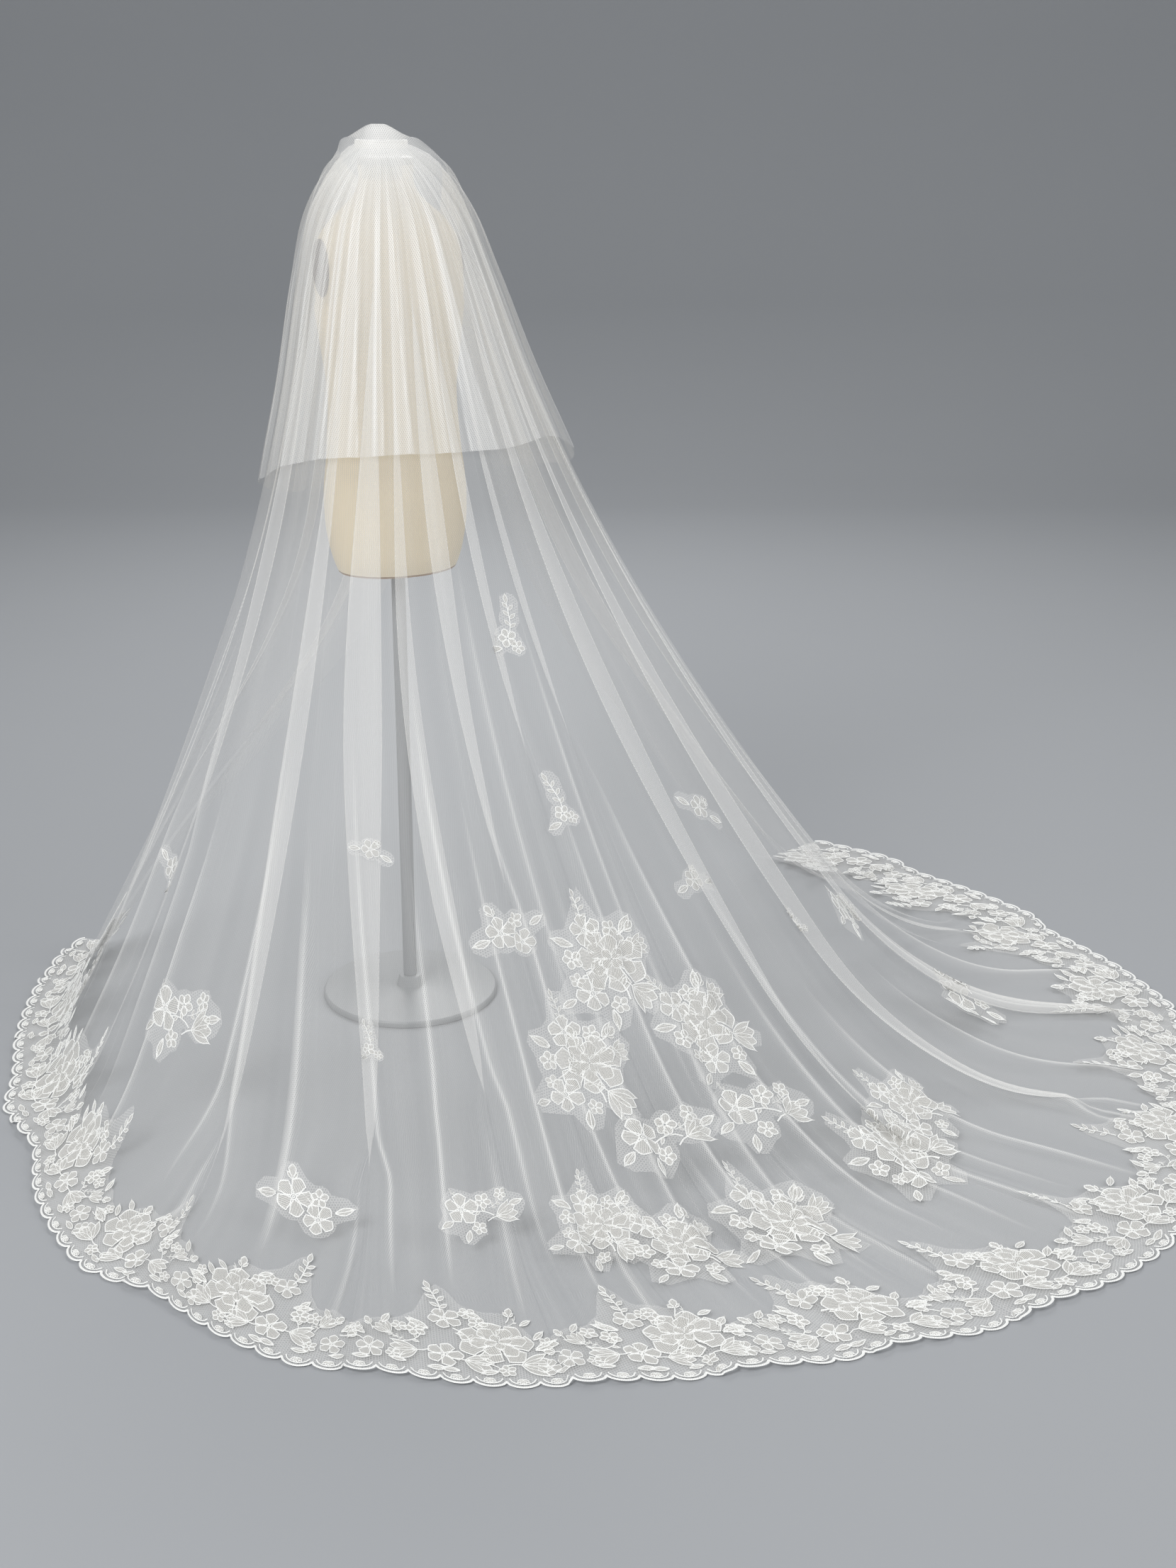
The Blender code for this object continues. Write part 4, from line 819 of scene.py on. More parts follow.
def long_cloth():
    """The long tier's cloth, one row past its hem included."""
    bounds = pleat_bounds(LONG_PLEATS)
    lines = []
    for index, pleat in enumerate(LONG_PLEATS):
        before = LONG_PLEATS[max(index - 1, 0)]
        lines.append(between_points(before, bounds[index], pleat))
        lines += pleat_lines(pleat, bounds[index], bounds[index + 1])
    drop = row_drops(bounds[-1][1])
    lines.append((*panel_points(*bounds[-1], 0.0 * drop, 0.0 * drop, drop), drop, 0.0 * drop))
    grid = np.stack([np.concatenate([p, n, d[:, None], e[:, None]], 1) for p, n, d, e in lines], 1)
    stops = even_stops(PLEAT_COLUMNS * len(LONG_PLEATS))
    for crease in LONG_CREASES:
        gap = int(crease.at * PLEAT_GAPS)
        near = [crease.at * PLEAT_GAPS - gap + step for step in CREASE_STOPS]
        kept = [share for share in near if 0.0 < share < 1.0]
        stops[gap] = np.unique(np.round(np.concatenate([stops[gap], kept]), 3))
    fine = spline_across(grid, stops)
    at = np.concatenate(
        [gap + shares for gap, shares in enumerate(stops)] + [[len(stops)]]
    ) / PLEAT_GAPS
    cloth = Cloth(fine[:, :, :3].copy(), fine[:, :, 3:6], fine[:, :, 6], at)
    cloth.crease(LONG_CREASES)
    begun = smooth(cloth.drops, FOLD_EDGE_FROM, FOLD_EDGE_TO)
    cloth.layers += FOLD_EDGE * np.clip(fine[:, :, 7], 0.0, 1.0) * begun
    cloth.gather(LONG_CUT)
    ripple(cloth, height=0.0016, seed=11, dense=0.7)
    return cloth


def ripple(cloth, height, seed, dense):
    """Fine uneven gathers below the seam, each running out at its own drop."""
    draw = random.Random(seed)
    wave = np.zeros(len(cloth.at))
    wide = np.ones(len(cloth.at))
    ends = np.zeros(len(cloth.at))
    start = 0.0
    while start < cloth.at[-1]:
        width = draw.uniform(*GATHER_WIDTHS)
        inside = (cloth.at >= start) & (cloth.at < start + width)
        wave[inside] = draw.uniform(*GATHER_STRENGTHS) * np.sin(
            np.pi * (cloth.at[inside] - start) / width
        )
        wide[inside] = width
        ends[inside] = draw.uniform(*GATHER_ENDS)
        start += width
    fade = smooth(cloth.drops, SEAM_DROP - 0.03, SEAM_DROP + 0.05)
    fade = fade * (1.0 - smooth(cloth.drops, GATHER_WHOLE * ends[None, :], ends[None, :]))
    pitch = np.gradient(cloth.across, axis=1) / np.gradient(cloth.at)[None, :] * wide[None, :]
    tall = np.minimum(height, GATHER_STEEPEST * pitch)
    cloth.points += cloth.outward * (tall * wave * fade)[:, :, None]
    cloth.layers *= 1.0 + dense * (wave - GATHER_EVEN) * fade
    cloth.measure()


def short_cloth():
    """The short tier's cloth: a puff over the seam, then a fall outside the long tier."""
    steps = SHORT_WAVES * WAVE_LINES
    left, right = LEFT_EDGE_TOP + SHORT_EDGE_INSET, RIGHT_EDGE_TOP - SHORT_EDGE_INSET
    bearing = np.linspace(left, right, steps + 1)
    wave = np.sin(np.pi * np.arange(steps + 1) / 2.0)
    ends = smooth(np.abs(np.linspace(-1.0, 1.0, steps + 1)), 0.15, 1.0)
    rows = []
    for level in PUFF:
        share = smooth(level.outward, 0.0, 0.060)
        full = (level.height - PUFF[0].height) / (VEIL_TOP - PUFF[0].height)
        angle = np.radians(seam_bearing(bearing) + (bearing - seam_bearing(bearing)) * share)
        radius = SEAM_RADIUS + level.outward
        outward = np.stack([np.cos(angle), np.sin(angle), 0.0 * angle], -1)
        place = outward * radius
        place[:, 2] = level.height - PUFF_SAG * full * ends
        drop = np.full((steps + 1, 1), 1.0 - level.height / VEIL_TOP)
        rows.append(np.concatenate([place, outward, drop], 1))
    hem = 1.0 - curve(SHORT_HEM, "bearing", "height", bearing) / VEIL_TOP
    drops = [np.full(steps + 1, drop) for drop in SHORT_ROWS]
    drops += [SHORT_ROWS[-1] + (hem - SHORT_ROWS[-1]) * share for share in SHORT_LOWER_ROWS]
    for drop in drops:
        height = curve(SHORT_HEIGHTS, "drop", "height", drop)
        clear = FOLD_ROOM * fold_height(drop) + NET_WALL + height + TIER_GAP
        uneven = 0.75 + 0.25 * np.sin(np.radians(3.1 * bearing))
        normal = base_normal(bearing, drop)
        place = base_point(bearing, drop) + normal * (clear + height * wave * uneven)[:, None]
        rows.append(np.concatenate([place, normal, drop[:, None]], 1))
    grid = spline_across(np.stack(rows), even_stops([WAVE_COLUMNS] * steps))
    down = even_stops(SHORT_ROW_COUNTS)
    grid = spline_across(grid.transpose(1, 0, 2), down).transpose(1, 0, 2)
    at = np.arange(WAVE_COLUMNS * steps + 1) / (WAVE_COLUMNS * WAVE_LINES)
    cloth = Cloth(grid[:, :, :3].copy(), grid[:, :, 3:6], grid[:, :, 6], at)
    cloth.crease(SHORT_CREASES)
    cloth.press(SHORT_PRESSED)
    cloth.gather(SHORT_CUT)
    ripple(cloth, height=0.0018, seed=5, dense=0.4)
    shares = [row.share for row in SHORT_FULLNESS]
    cloth.layers *= np.interp(
        cloth.at / cloth.at[-1], shares, [row.part for row in SHORT_FULLNESS]
    )
    return cloth


def add_node(tree, kind, inputs=None, **settings):
    """Add a node with its settings; each input takes a value, or a link from an output."""
    made = tree.nodes.new(kind)
    for name, value in settings.items():
        setattr(made, name, value)
    for name, value in (inputs or {}).items():
        if isinstance(value, bpy.types.NodeSocket):
            tree.links.new(value, made.inputs[name])
        else:
            made.inputs[name].default_value = value
    return made


def new_material(name, roughness, **values):
    """A material with its shader's own values set; returns it, its tree and its shader."""
    made = bpy.data.materials.new(name)
    made.use_nodes = True
    shader = made.node_tree.nodes["Principled BSDF"]
    shader.inputs["Roughness"].default_value = roughness
    for key, value in values.items():
        shader.inputs[key.replace("_", " ")].default_value = value
    return made, made.node_tree, shader


def shaded(colour, part):
    """A property's colour, darkened, with alpha."""
    return (*[value * part for value in colour], 1.0)


def finish_surface(tree, shader, factor, dark, light, height, strength, depth):
    """Colour a shader between two colours and roughen it by a height."""
    mix = add_node(tree, "ShaderNodeMix", {0: factor, 6: dark, 7: light}, data_type="RGBA")
    tree.links.new(mix.outputs[2], shader.inputs["Base Color"])
    bump = add_node(
        tree, "ShaderNodeBump", {"Height": height, "Strength": strength, "Distance": depth}
    )
    tree.links.new(bump.outputs[0], shader.inputs["Normal"])


def bands(tree, vector, turn, spacing):
    """Soft threads a spacing apart, turned about the cloth; 1 on a thread, 0 between."""
    mapping = add_node(
        tree, "ShaderNodeMapping", {0: vector, "Rotation": (0.0, 0.0, math.radians(turn))}
    )
    scale = {
        0: mapping.outputs[0], "Scale": math.tau / 20.0 / spacing, "Distortion": 0.6, "Detail": 1.0
    }
    return add_node(tree, "ShaderNodeTexWave", scale).outputs["Fac"]


def tulle_material(name, sizes, cover):
    """Woven polyester tulle, steamed: a see-through net that whitens where it is doubled,
    creased or gathered. The net is drawn coarser than its real 1 mm mesh so that it shows."""
    made, tree, shader = new_material(name, 0.55, Sheen_Weight=0.35, Sheen_Roughness=0.35)
    net = add_node(tree, "ShaderNodeUVMap", uv_map="Net").outputs[0]
    fall = add_node(tree, "ShaderNodeUVMap", uv_map="Fall").outputs[0]
    layers = add_node(tree, "ShaderNodeAttribute", attribute_name="layers").outputs["Fac"]
    one = bands(tree, net, 30.0, sizes.net_mesh)
    two = bands(tree, net, -30.0, sizes.net_mesh)
    threads = add_node(tree, "ShaderNodeMath", {0: one, 1: two}, operation="MAXIMUM").outputs[0]
    crisp = add_node(tree, "ShaderNodeMath", {0: threads, 1: 3.0}, operation="POWER").outputs[0]
    grain = add_node(
        tree, "ShaderNodeMath", {0: crisp, 1: 0.9, 2: 0.62}, operation="MULTIPLY_ADD"
    ).outputs[0]
    stretched = add_node(
        tree, "ShaderNodeMapping", {0: fall, "Scale": (14.0, 1.1, 1.0)}
    ).outputs[0]
    noise = {0: stretched, "Scale": 1.0, "Detail": 3.0, "Roughness": 0.65}
    streak = add_node(tree, "ShaderNodeTexNoise", noise).outputs["Fac"]
    uneven = add_node(
        tree, "ShaderNodeMath", {0: streak, 1: 1.1, 2: 0.45}, operation="MULTIPLY_ADD"
    ).outputs[0]
    woven = add_node(
        tree, "ShaderNodeMath", {0: layers, 1: grain}, operation="MULTIPLY"
    ).outputs[0]
    density = add_node(
        tree, "ShaderNodeMath", {0: woven, 1: uneven}, operation="MULTIPLY"
    ).outputs[0]
    clear = add_node(
        tree, "ShaderNodeMath", {0: 1.0 - cover, 1: density}, operation="POWER"
    ).outputs[0]
    stopped = add_node(tree, "ShaderNodeMath", {0: 1.0, 1: clear}, operation="SUBTRACT").outputs[0]
    tree.links.new(stopped, shader.inputs["Alpha"])
    finish_surface(
        tree, shader, streak, shaded(sizes.net_colour, 0.90), (*sizes.net_colour, 1.0), threads,
        0.15, 0.0004,
    )
    return made


def lace_ground_material():
    """Raschel lace ground, cut round the motifs by hand: a hexagon net closer and whiter
    than the veil's own 1 mm net. Its 2 mm mesh is drawn at 4 mm so that it shows."""
    made, tree, shader = new_material("raschel lace ground", 0.7, Sheen_Weight=0.2)
    stitch = add_node(tree, "ShaderNodeUVMap", uv_map="Stitch").outputs[0]
    one, two, three = [bands(tree, stitch, turn, 0.0042) for turn in (60.0, -60.0, 0.0)]
    pair = add_node(tree, "ShaderNodeMath", {0: one, 1: two}, operation="MAXIMUM").outputs[0]
    threads = add_node(tree, "ShaderNodeMath", {0: pair, 1: three}, operation="MAXIMUM").outputs[0]
    crisp = add_node(tree, "ShaderNodeMath", {0: threads, 1: 4.0}, operation="POWER").outputs[0]
    cover = add_node(
        tree, "ShaderNodeMath", {0: crisp, 1: 0.22, 2: 0.10}, operation="MULTIPLY_ADD"
    )
    tree.links.new(cover.outputs[0], shader.inputs["Alpha"])
    finish_surface(
        tree, shader, threads, linear("#ECECEA"), linear("#FAF9F6"), threads, 0.2, 0.0004
    )
    return made


def lace_fill_material():
    """Rayon embroidery, stitched by machine: petals filled with close satin stitches in fine rows,
    with a painted highlight on each row and painted grey shade between the rows, over an uneven
    tone where stitches lie loose. The 0.4 mm rows are drawn at 2 mm so that they show."""
    made, tree, shader = new_material("rayon satin stitch filling", 0.5, Sheen_Weight=0.25)
    stitch = add_node(tree, "ShaderNodeUVMap", uv_map="Stitch").outputs[0]
    rows = bands(tree, stitch, 0.0, 0.0021)
    noise = add_node(
        tree, "ShaderNodeTexNoise", {0: stitch, "Scale": 420.0, "Detail": 2.0}
    ).outputs["Fac"]
    loose = add_node(tree, "ShaderNodeMath", {0: noise, 1: 0.6}, operation="MULTIPLY").outputs[0]
    painted_sheen_rows_and_loose = add_node(
        tree, "ShaderNodeMath", {0: rows, 1: 0.55, 2: loose}, operation="MULTIPLY_ADD"
    ).outputs[0]
    cover = add_node(
        tree, "ShaderNodeMath", {0: painted_sheen_rows_and_loose, 1: 0.60, 2: 0.36}, operation="MULTIPLY_ADD"
    ).outputs[0]
    whole = add_node(tree, "ShaderNodeMath", {0: cover, 1: 1.0}, operation="MINIMUM").outputs[0]
    tree.links.new(whole, shader.inputs["Alpha"])
    # Base colour is painted light: a highlight on the stitch rows and grey shade (#A9A8A4) between
    # them, plus the loose stitches' uneven tone
    finish_surface(tree, shader, painted_sheen_rows_and_loose, linear("#A9A8A4"), linear("#F0EEE9"), painted_sheen_rows_and_loose, 0.6, 0.0006)
    return made


def lace_cord_material(colour):
    """Twisted rayon cord, couched on by machine: the brightest, roundest line of the lace, its
    plies slanting, with painted shade in the grooves between them. Its 0.8 mm turns are drawn
    at 2.4 mm so that they show."""
    made, tree, shader = new_material("couched rayon cord", 0.42, Sheen_Weight=0.2)
    stitch = add_node(tree, "ShaderNodeUVMap", uv_map="Stitch").outputs[0]
    twist_and_groove_shade = bands(tree, stitch, 55.0, 0.0024)
    # Base colour carries painted shade: 0.83 of the cord colour in the grooves between the plies
    finish_surface(tree, shader, twist_and_groove_shade, shaded(colour, 0.83), (*colour, 1.0), twist_and_groove_shade, 0.5, 0.0004)
    return made


def satin_material():
    """Polyester satin ribbon, folded over the gathers: smooth with a soft wide gloss."""
    made, tree, shader = new_material("polyester satin binding", 0.38, Sheen_Weight=0.3)
    place = add_node(tree, "ShaderNodeTexCoord").outputs["Object"]
    weave = bands(tree, place, 90.0, 0.0012)
    finish_surface(tree, shader, weave, linear("#E9E7E2"), linear("#F6F4EF"), weave, 0.2, 0.0002)
    return made


def comb_material():
    """Clear acrylic, moulded: a glassy edge with faint clouds where it flowed."""
    made, tree, shader = new_material(
        "moulded clear acrylic", 0.12, IOR=1.49, Transmission_Weight=0.6
    )
    place = add_node(tree, "ShaderNodeTexCoord").outputs["Object"]
    cloud = add_node(
        tree, "ShaderNodeTexNoise", {0: place, "Scale": 160.0, "Detail": 2.0}
    ).outputs["Fac"]
    finish_surface(tree, shader, cloud, linear("#DDE1E2"), linear("#F2F4F4"), cloud, 0.1, 0.0002)
    return made


def jersey_material(colour):
    """Cream cotton jersey, stretched over the moulded body: fine knit ribs, faint pilling
    and a little yellowing. The 1 mm ribs are drawn at 3 mm so that they show."""
    made, tree, shader = new_material("stretched cotton jersey", 0.85, Sheen_Weight=0.25)
    place = add_node(tree, "ShaderNodeTexCoord").outputs["Object"]
    ribs = bands(tree, place, 0.0, 0.0030)
    cloud = add_node(
        tree, "ShaderNodeTexNoise", {0: place, "Scale": 9.0, "Detail": 4.0}
    ).outputs["Fac"]
    fuzz = add_node(
        tree, "ShaderNodeTexNoise", {0: place, "Scale": 700.0, "Detail": 2.0}
    ).outputs["Fac"]
    knit = add_node(
        tree, "ShaderNodeMath", {0: ribs, 1: 0.5, 2: fuzz}, operation="MULTIPLY_ADD"
    ).outputs[0]
    finish_surface(tree, shader, cloud, shaded(colour, 0.78), (*colour, 1.0), knit, 0.35, 0.0006)
    height = add_node(tree, "ShaderNodeSeparateXYZ", {0: place}).outputs["Z"]
    bound = add_node(
        tree, "ShaderNodeMath", {0: height, 1: BINDING_TOP}, operation="LESS_THAN"
    ).outputs[0]
    knitted = shader.inputs["Base Color"].links[0].from_socket
    edge = add_node(
        tree, "ShaderNodeMix", {0: bound, 6: knitted, 7: linear("#8A6A48")}, data_type="RGBA"
    )
    tree.links.new(edge.outputs[2], shader.inputs["Base Color"])
    return made


def wood_material():
    """Beech, turned and stained dark: close rings under a thin satin lacquer."""
    made, tree, shader = new_material(
        "stained turned beech", 0.35, Coat_Weight=0.3, Coat_Roughness=0.2
    )
    place = add_node(tree, "ShaderNodeTexCoord").outputs["Object"]
    stretched = add_node(
        tree, "ShaderNodeMapping", {0: place, "Scale": (1.0, 1.0, 0.25)}
    ).outputs[0]
    grain = {0: stretched, "Scale": 45.0, "Distortion": 5.0, "Detail": 3.0}
    rings = add_node(tree, "ShaderNodeTexWave", grain).outputs["Fac"]
    finish_surface(tree, shader, rings, linear("#2A1A12"), linear("#4B3122"), rings, 0.15, 0.0003)
    return made


def steel_material():
    """Steel, powder coated and baked: a mid grey skin with a fine orange peel."""
    made, tree, shader = new_material("powder coated steel", 0.45)
    place = add_node(tree, "ShaderNodeTexCoord").outputs["Object"]
    peel = add_node(
        tree, "ShaderNodeTexNoise", {0: place, "Scale": 500.0, "Detail": 2.0}
    ).outputs["Fac"]
    finish_surface(tree, shader, peel, linear("#8F9193"), linear("#9C9EA0"), peel, 0.2, 0.0003)
    return made


def floor_material(colour):
    """Seamless studio paper, matt: one pale tone with the faintest mottle."""
    made, tree, shader = new_material("seamless studio paper", 0.9)
    place = add_node(tree, "ShaderNodeTexCoord").outputs["Object"]
    mottle = add_node(
        tree, "ShaderNodeTexNoise", {0: place, "Scale": 3.0, "Detail": 2.0}
    ).outputs["Fac"]
    tones = {0: mottle, 6: (*[part * 0.985 for part in colour], 1.0), 7: (*colour, 1.0)}
    mix = add_node(tree, "ShaderNodeMix", tones, data_type="RGBA")
    tree.links.new(mix.outputs[2], shader.inputs["Base Color"])
    return made


def mesh_from(name, points, faces, uvs=None):
    """A mesh from points and faces; uvs holds a map's name and its place for each point."""
    mesh = bpy.data.meshes.new(name)
    mesh.from_pydata(np.asarray(points).tolist(), [], [list(map(int, face)) for face in faces])
    corners = np.empty(len(mesh.loops), int)
    mesh.loops.foreach_get("vertex_index", corners)
    for title, places in (uvs or {}).items():
        layer = mesh.uv_layers.new(name=title)
        layer.data.foreach_set("uv", np.asarray(places, np.float32)[corners].ravel())
    mesh.polygons.foreach_set("use_smooth", [True] * len(mesh.polygons))
    mesh.update()
    return mesh


def new_piece(name, mesh, finishes, replaced, sharp=None):
    """Put a finished mesh in the scene, riding on the body and standing for its nodes."""
    for finish in finishes:
        mesh.materials.append(finish)
    if sharp is not None:
        mesh.set_sharp_from_angle(angle=math.radians(sharp))
    piece = bpy.data.objects.new(name, mesh)
    bpy.context.scene.collection.objects.link(piece)
    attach(piece, BODY)
    if replaced:
        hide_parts(*replaced)
    return piece


def grid_faces(rows, columns):
    """The squares of a grid of points, facing away from the side the fall is seen from."""
    index = np.arange(rows * columns).reshape(rows, columns)
    a, b, c, d = index[:-1, :-1], index[1:, :-1], index[1:, 1:], index[:-1, 1:]
    return np.stack([a, b, c, d], -1).reshape(-1, 4)


def cloth_piece(name, cloth, rows, finish, replaced):
    """A tier of net as a thin shell over the first rows of its cloth."""
    points = cloth.points[:rows].reshape(-1, 3).copy()
    points[:, 2] = np.maximum(points[:, 2], NET_WALL / 2.0)
    centre = cloth.across[:rows, -1:] / 2.0
    net = np.stack([cloth.across[:rows] - centre, -cloth.down[:rows]], -1).reshape(-1, 2)
    at = np.broadcast_to(cloth.at, (rows, len(cloth.at)))
    fall = np.stack([at, cloth.drops[:rows]], -1).reshape(-1, 2)
    mesh = mesh_from(name, points, grid_faces(rows, len(cloth.at)), {"Net": net, "Fall": fall})
    layers = mesh.attributes.new("layers", "FLOAT", "POINT")
    layers.data.foreach_set("value", cloth.layers[:rows].ravel().astype(np.float32))
    return new_piece(name, mesh, [finish], replaced)


class Drawing:
    """Flat lace being drawn in squares, with the place of each point in its stitches."""

    def __init__(self):
        self.points = []
        self.stitch = []
        self.faces = []

    def rows(self, rows):
        """Join rows of points, each (x, y, z, stitch x, stitch y), into squares."""
        width = len(rows[0])
        start = len(self.points)
        for row in rows:
            for x, y, z, u, v in row:
                self.points.append((x, y, z))
                self.stitch.append((u, v))
        for r in range(len(rows) - 1):
            for c in range(width - 1):
                a = start + r * width + c
                self.faces.append((a, a + 1, a + 1 + width, a + width))

    def mesh(self, name):
        return mesh_from(name, self.points, self.faces, {"Stitch": self.stitch})


class Motif:
    """A lace motif: its filled parts, and the raised cord round them."""

    def __init__(self):
        self.fill = Drawing()
        self.cord = Drawing()

    def line(self, path, width, height=0.0010, closed=False):
        """A raised cord along a path of flat points."""
        path = [np.array(p, float) for p in path]
        count = len(path)
        rows = []
        run = 0.0
        for i in range(count + closed):
            here = path[i % count]
            before = path[(i - 1) % count] if closed or i else here
            after = path[(i + 1) % count] if closed or i < count - 1 else here
            way = after - before
            side = np.array([-way[1], way[0]]) / max(np.hypot(*way), 1e-9)
            if i:
                run += float(np.hypot(*(here - path[(i - 1) % count])))
            rows.append([
                (*(here + side * width * k), height * tall, width * k, run)
                for k, tall in ((0.5, 0.0), (0.0, 1.0), (-0.5, 0.0))
            ])
        self.cord.rows(rows)

    def petal(
        self, root, turn, length, width, kind="petal",
        ruffle=0.0, steps=5, spans=4, cord=0.0020, rise=0.0,
    ):
        """A filled petal or leaf from its root, with a cord round it."""
        turn = math.radians(turn)
        way = np.array([-math.sin(turn), math.cos(turn)])
        side = np.array([math.cos(turn), math.sin(turn)])
        root = np.array(root, float)
        rows = []
        for i in range(steps + 1):
            s = i / steps
            if kind == "leaf":
                half = 0.5 * width * max(math.sin(math.pi * min(s * 0.96 + 0.02, 1.0)), 0.05)
            else:
                half = 0.54 * width * (0.10 + 0.90 * s**0.6) * max(1.0 - s**6, 0.14) ** 0.5
            half *= 1.0 + ruffle * math.sin(3.0 * math.pi * s)
            row = []
            for j in range(spans + 1):
                c = 2.0 * j / spans - 1.0
                up = length * s * (1.0 - (0.10 - ruffle * math.cos(2.5 * math.pi * c)) * c * c * s)
                x, y = root + side * (half * c) + way * up
                relief = rise + 0.0009 * (1.0 - c * c) * math.sin(math.pi * min(s + 0.1, 1.0))
                row.append((x, y, relief, half * c, up))
            rows.append(row)
        self.fill.rows(rows)
        edge = [row[0][:2] for row in rows] + [p[:2] for p in rows[-1][1:-1]]
        edge += [row[-1][:2] for row in reversed(rows)]
        self.line(edge, cord, 0.0010 + rise)

    def ring(self, centre, wide, tall, turn, cord, sides=14):
        """A closed ring of cord, as round an eyelet."""
        turn = math.radians(turn)
        path = []
        for i in range(sides):
            angle = math.tau * i / sides
            x, y = wide * math.cos(angle), tall * math.sin(angle)
            path.append((
                centre[0] + x * math.cos(turn) - y * math.sin(turn),
                centre[1] + x * math.sin(turn) + y * math.cos(turn),
            ))
        self.line(path, cord, closed=True)


def petal_ring(motif, centre, count, inner, length, width, turn, ruffle, stretch=1.0, **rest):
    """Petals round a centre, drawn wider along one axis where stretch is over 1."""
    for i in range(count):
        angle = turn + 360.0 * i / count
        way = math.radians(angle)
        root = (centre[0] - inner * stretch * math.sin(way), centre[1] + inner * math.cos(way))
        longer = 1.0 + (stretch - 1.0) * abs(math.sin(way))
        motif.petal(
            root, angle, length * longer * (1.0 + 0.08 * math.sin(5.0 * i)), width, ruffle=ruffle,
            **rest,
        )


def draw_peony(motif):
    petal_ring(motif, (0.0, 0.0), 7, 0.0130, 0.0300, 0.0370, 14.0, 0.09, 1.30, steps=4, spans=3)
    petal_ring(
        motif, (0.002, 0.001), 6, 0.0050, 0.0250, 0.0270, 40.0, 0.07, 1.35, steps=4, spans=3,
        rise=0.0005,
    )
    petal_ring(
        motif, (0.001, 0.0), 4, 0.0004, 0.0150, 0.0170, 20.0, 0.05, 1.30, steps=3, spans=2,
        rise=0.0010,
    )
    motif.ring((-0.012, 0.002), 0.0075, 0.0028, 24.0, 0.0022)
    motif.ring((0.014, -0.002), 0.0070, 0.0024, -30.0, 0.0022)


def draw_blossom(motif):
    petal_ring(motif, (0.0, 0.0), 5, 0.0045, 0.0215, 0.0235, 0.0, 0.06, steps=4, spans=3)
    motif.ring((0.0, 0.0), 0.0044, 0.0040, 0.0, 0.0022, sides=10)
    motif.ring((0.0, 0.0), 0.0016, 0.0016, 0.0, 0.0016, sides=6)


def draw_small_blossom(motif):
    petal_ring(
        motif, (0.0, 0.0), 5, 0.0022, 0.0125, 0.0135, 20.0, 0.0, steps=3, spans=2, cord=0.0018
    )
    motif.ring((0.0, 0.0), 0.0022, 0.0022, 0.0, 0.0016, sides=7)


def draw_tulip(motif):
    motif.petal((0.0, 0.0), 34.0, 0.050, 0.0150, "leaf", spans=2)
    motif.petal((0.0, 0.0), -34.0, 0.050, 0.0150, "leaf", spans=2)
    motif.petal((-0.001, 0.004), 12.0, 0.042, 0.0230, ruffle=0.05, spans=3)
    motif.petal((0.001, 0.004), -12.0, 0.042, 0.0230, ruffle=0.05, spans=3)
    motif.line([(0.0, 0.004), (0.0, -0.010), (0.004, -0.022)], 0.0024)


def draw_leaf(motif):
    motif.petal((0.0, 0.0), 0.0, 0.030, 0.0110, "leaf", steps=4, spans=2, cord=0.0017)
    motif.line([(0.0, 0.001), (0.0005, 0.014), (0.0, 0.026)], 0.0012, 0.0014)


def draw_bud(motif):
    motif.petal((0.0, 0.0), 0.0, 0.018, 0.0130, steps=4, spans=2, cord=0.0018)
    motif.petal((-0.001, -0.001), 38.0, 0.012, 0.0050, "leaf", steps=3, spans=2, cord=0.0014)
    motif.petal((0.001, -0.001), -38.0, 0.012, 0.0050, "leaf", steps=3, spans=2, cord=0.0014)
    motif.line([(0.0, 0.0), (-0.001, -0.008), (-0.004, -0.015)], 0.0020)


def draw_stem(motif):
    motif.line(
        [(-0.004, -0.024), (0.001, -0.014), (0.003, -0.002), (0.001, 0.010), (-0.005, 0.022)],
        0.0022,
    )
    motif.petal((0.002, -0.006), -58.0, 0.013, 0.0056, "leaf", steps=3, spans=2, cord=0.0014)
    motif.petal((0.002, 0.004), 56.0, 0.012, 0.0052, "leaf", steps=3, spans=2, cord=0.0014)


def draw_sprig(motif):
    motif.line([(0.0, 0.0), (0.002, 0.020), (-0.001, 0.042), (-0.005, 0.062)], 0.0022)
    leaves = [
        (0.001, 0.012, -52, 0.017), (0.001, 0.016, 50, 0.016), (0.001, 0.030, -44, 0.018),
        (0.000, 0.036, 56, 0.017), (-0.001, 0.048, -38, 0.016), (-0.003, 0.052, 48, 0.016),
        (-0.005, 0.061, 10, 0.021),
    ]
    for x, y, turn, length in leaves:
        motif.petal((x, y), turn, length, 0.42 * length, "leaf", steps=4, spans=2, cord=0.0015)


def draw_scallop(motif):
    """One scallop of the hem, a corded bow with a thinner one inside and a filled fan."""
    pitch = SCALLOP_DRAWN
    outer, inner = [], []
    for i in range(11):
        share = i / 10.0
        bow = math.sin(math.pi * share) ** SCALLOP_BOW
        outer.append(
            ((share - 0.5) * pitch, -(SCALLOP_ROOT + (SCALLOP_OUT - SCALLOP_ROOT - 0.0014) * bow))
        )
        inner.append(((share - 0.5) * pitch * 0.80, 0.004 - (SCALLOP_OUT - 0.004) * bow))
    motif.line(outer, 0.0040, 0.0015)
    motif.line(inner, 0.0022)
    for turn in (-52, -18, 18, 52):
        motif.petal(
            (0.0, 0.003), 180 + turn, 0.0115, 0.0062, "leaf", steps=3, spans=2, cord=0.0013
        )


DRAWN = {
    "peony": draw_peony,
    "blossom": draw_blossom,
    "small_blossom": draw_small_blossom,
    "tulip": draw_tulip,
    "leaf": draw_leaf,
    "bud": draw_bud,
    "stem": draw_stem,
    "sprig": draw_sprig,
    "scallop": draw_scallop,
}


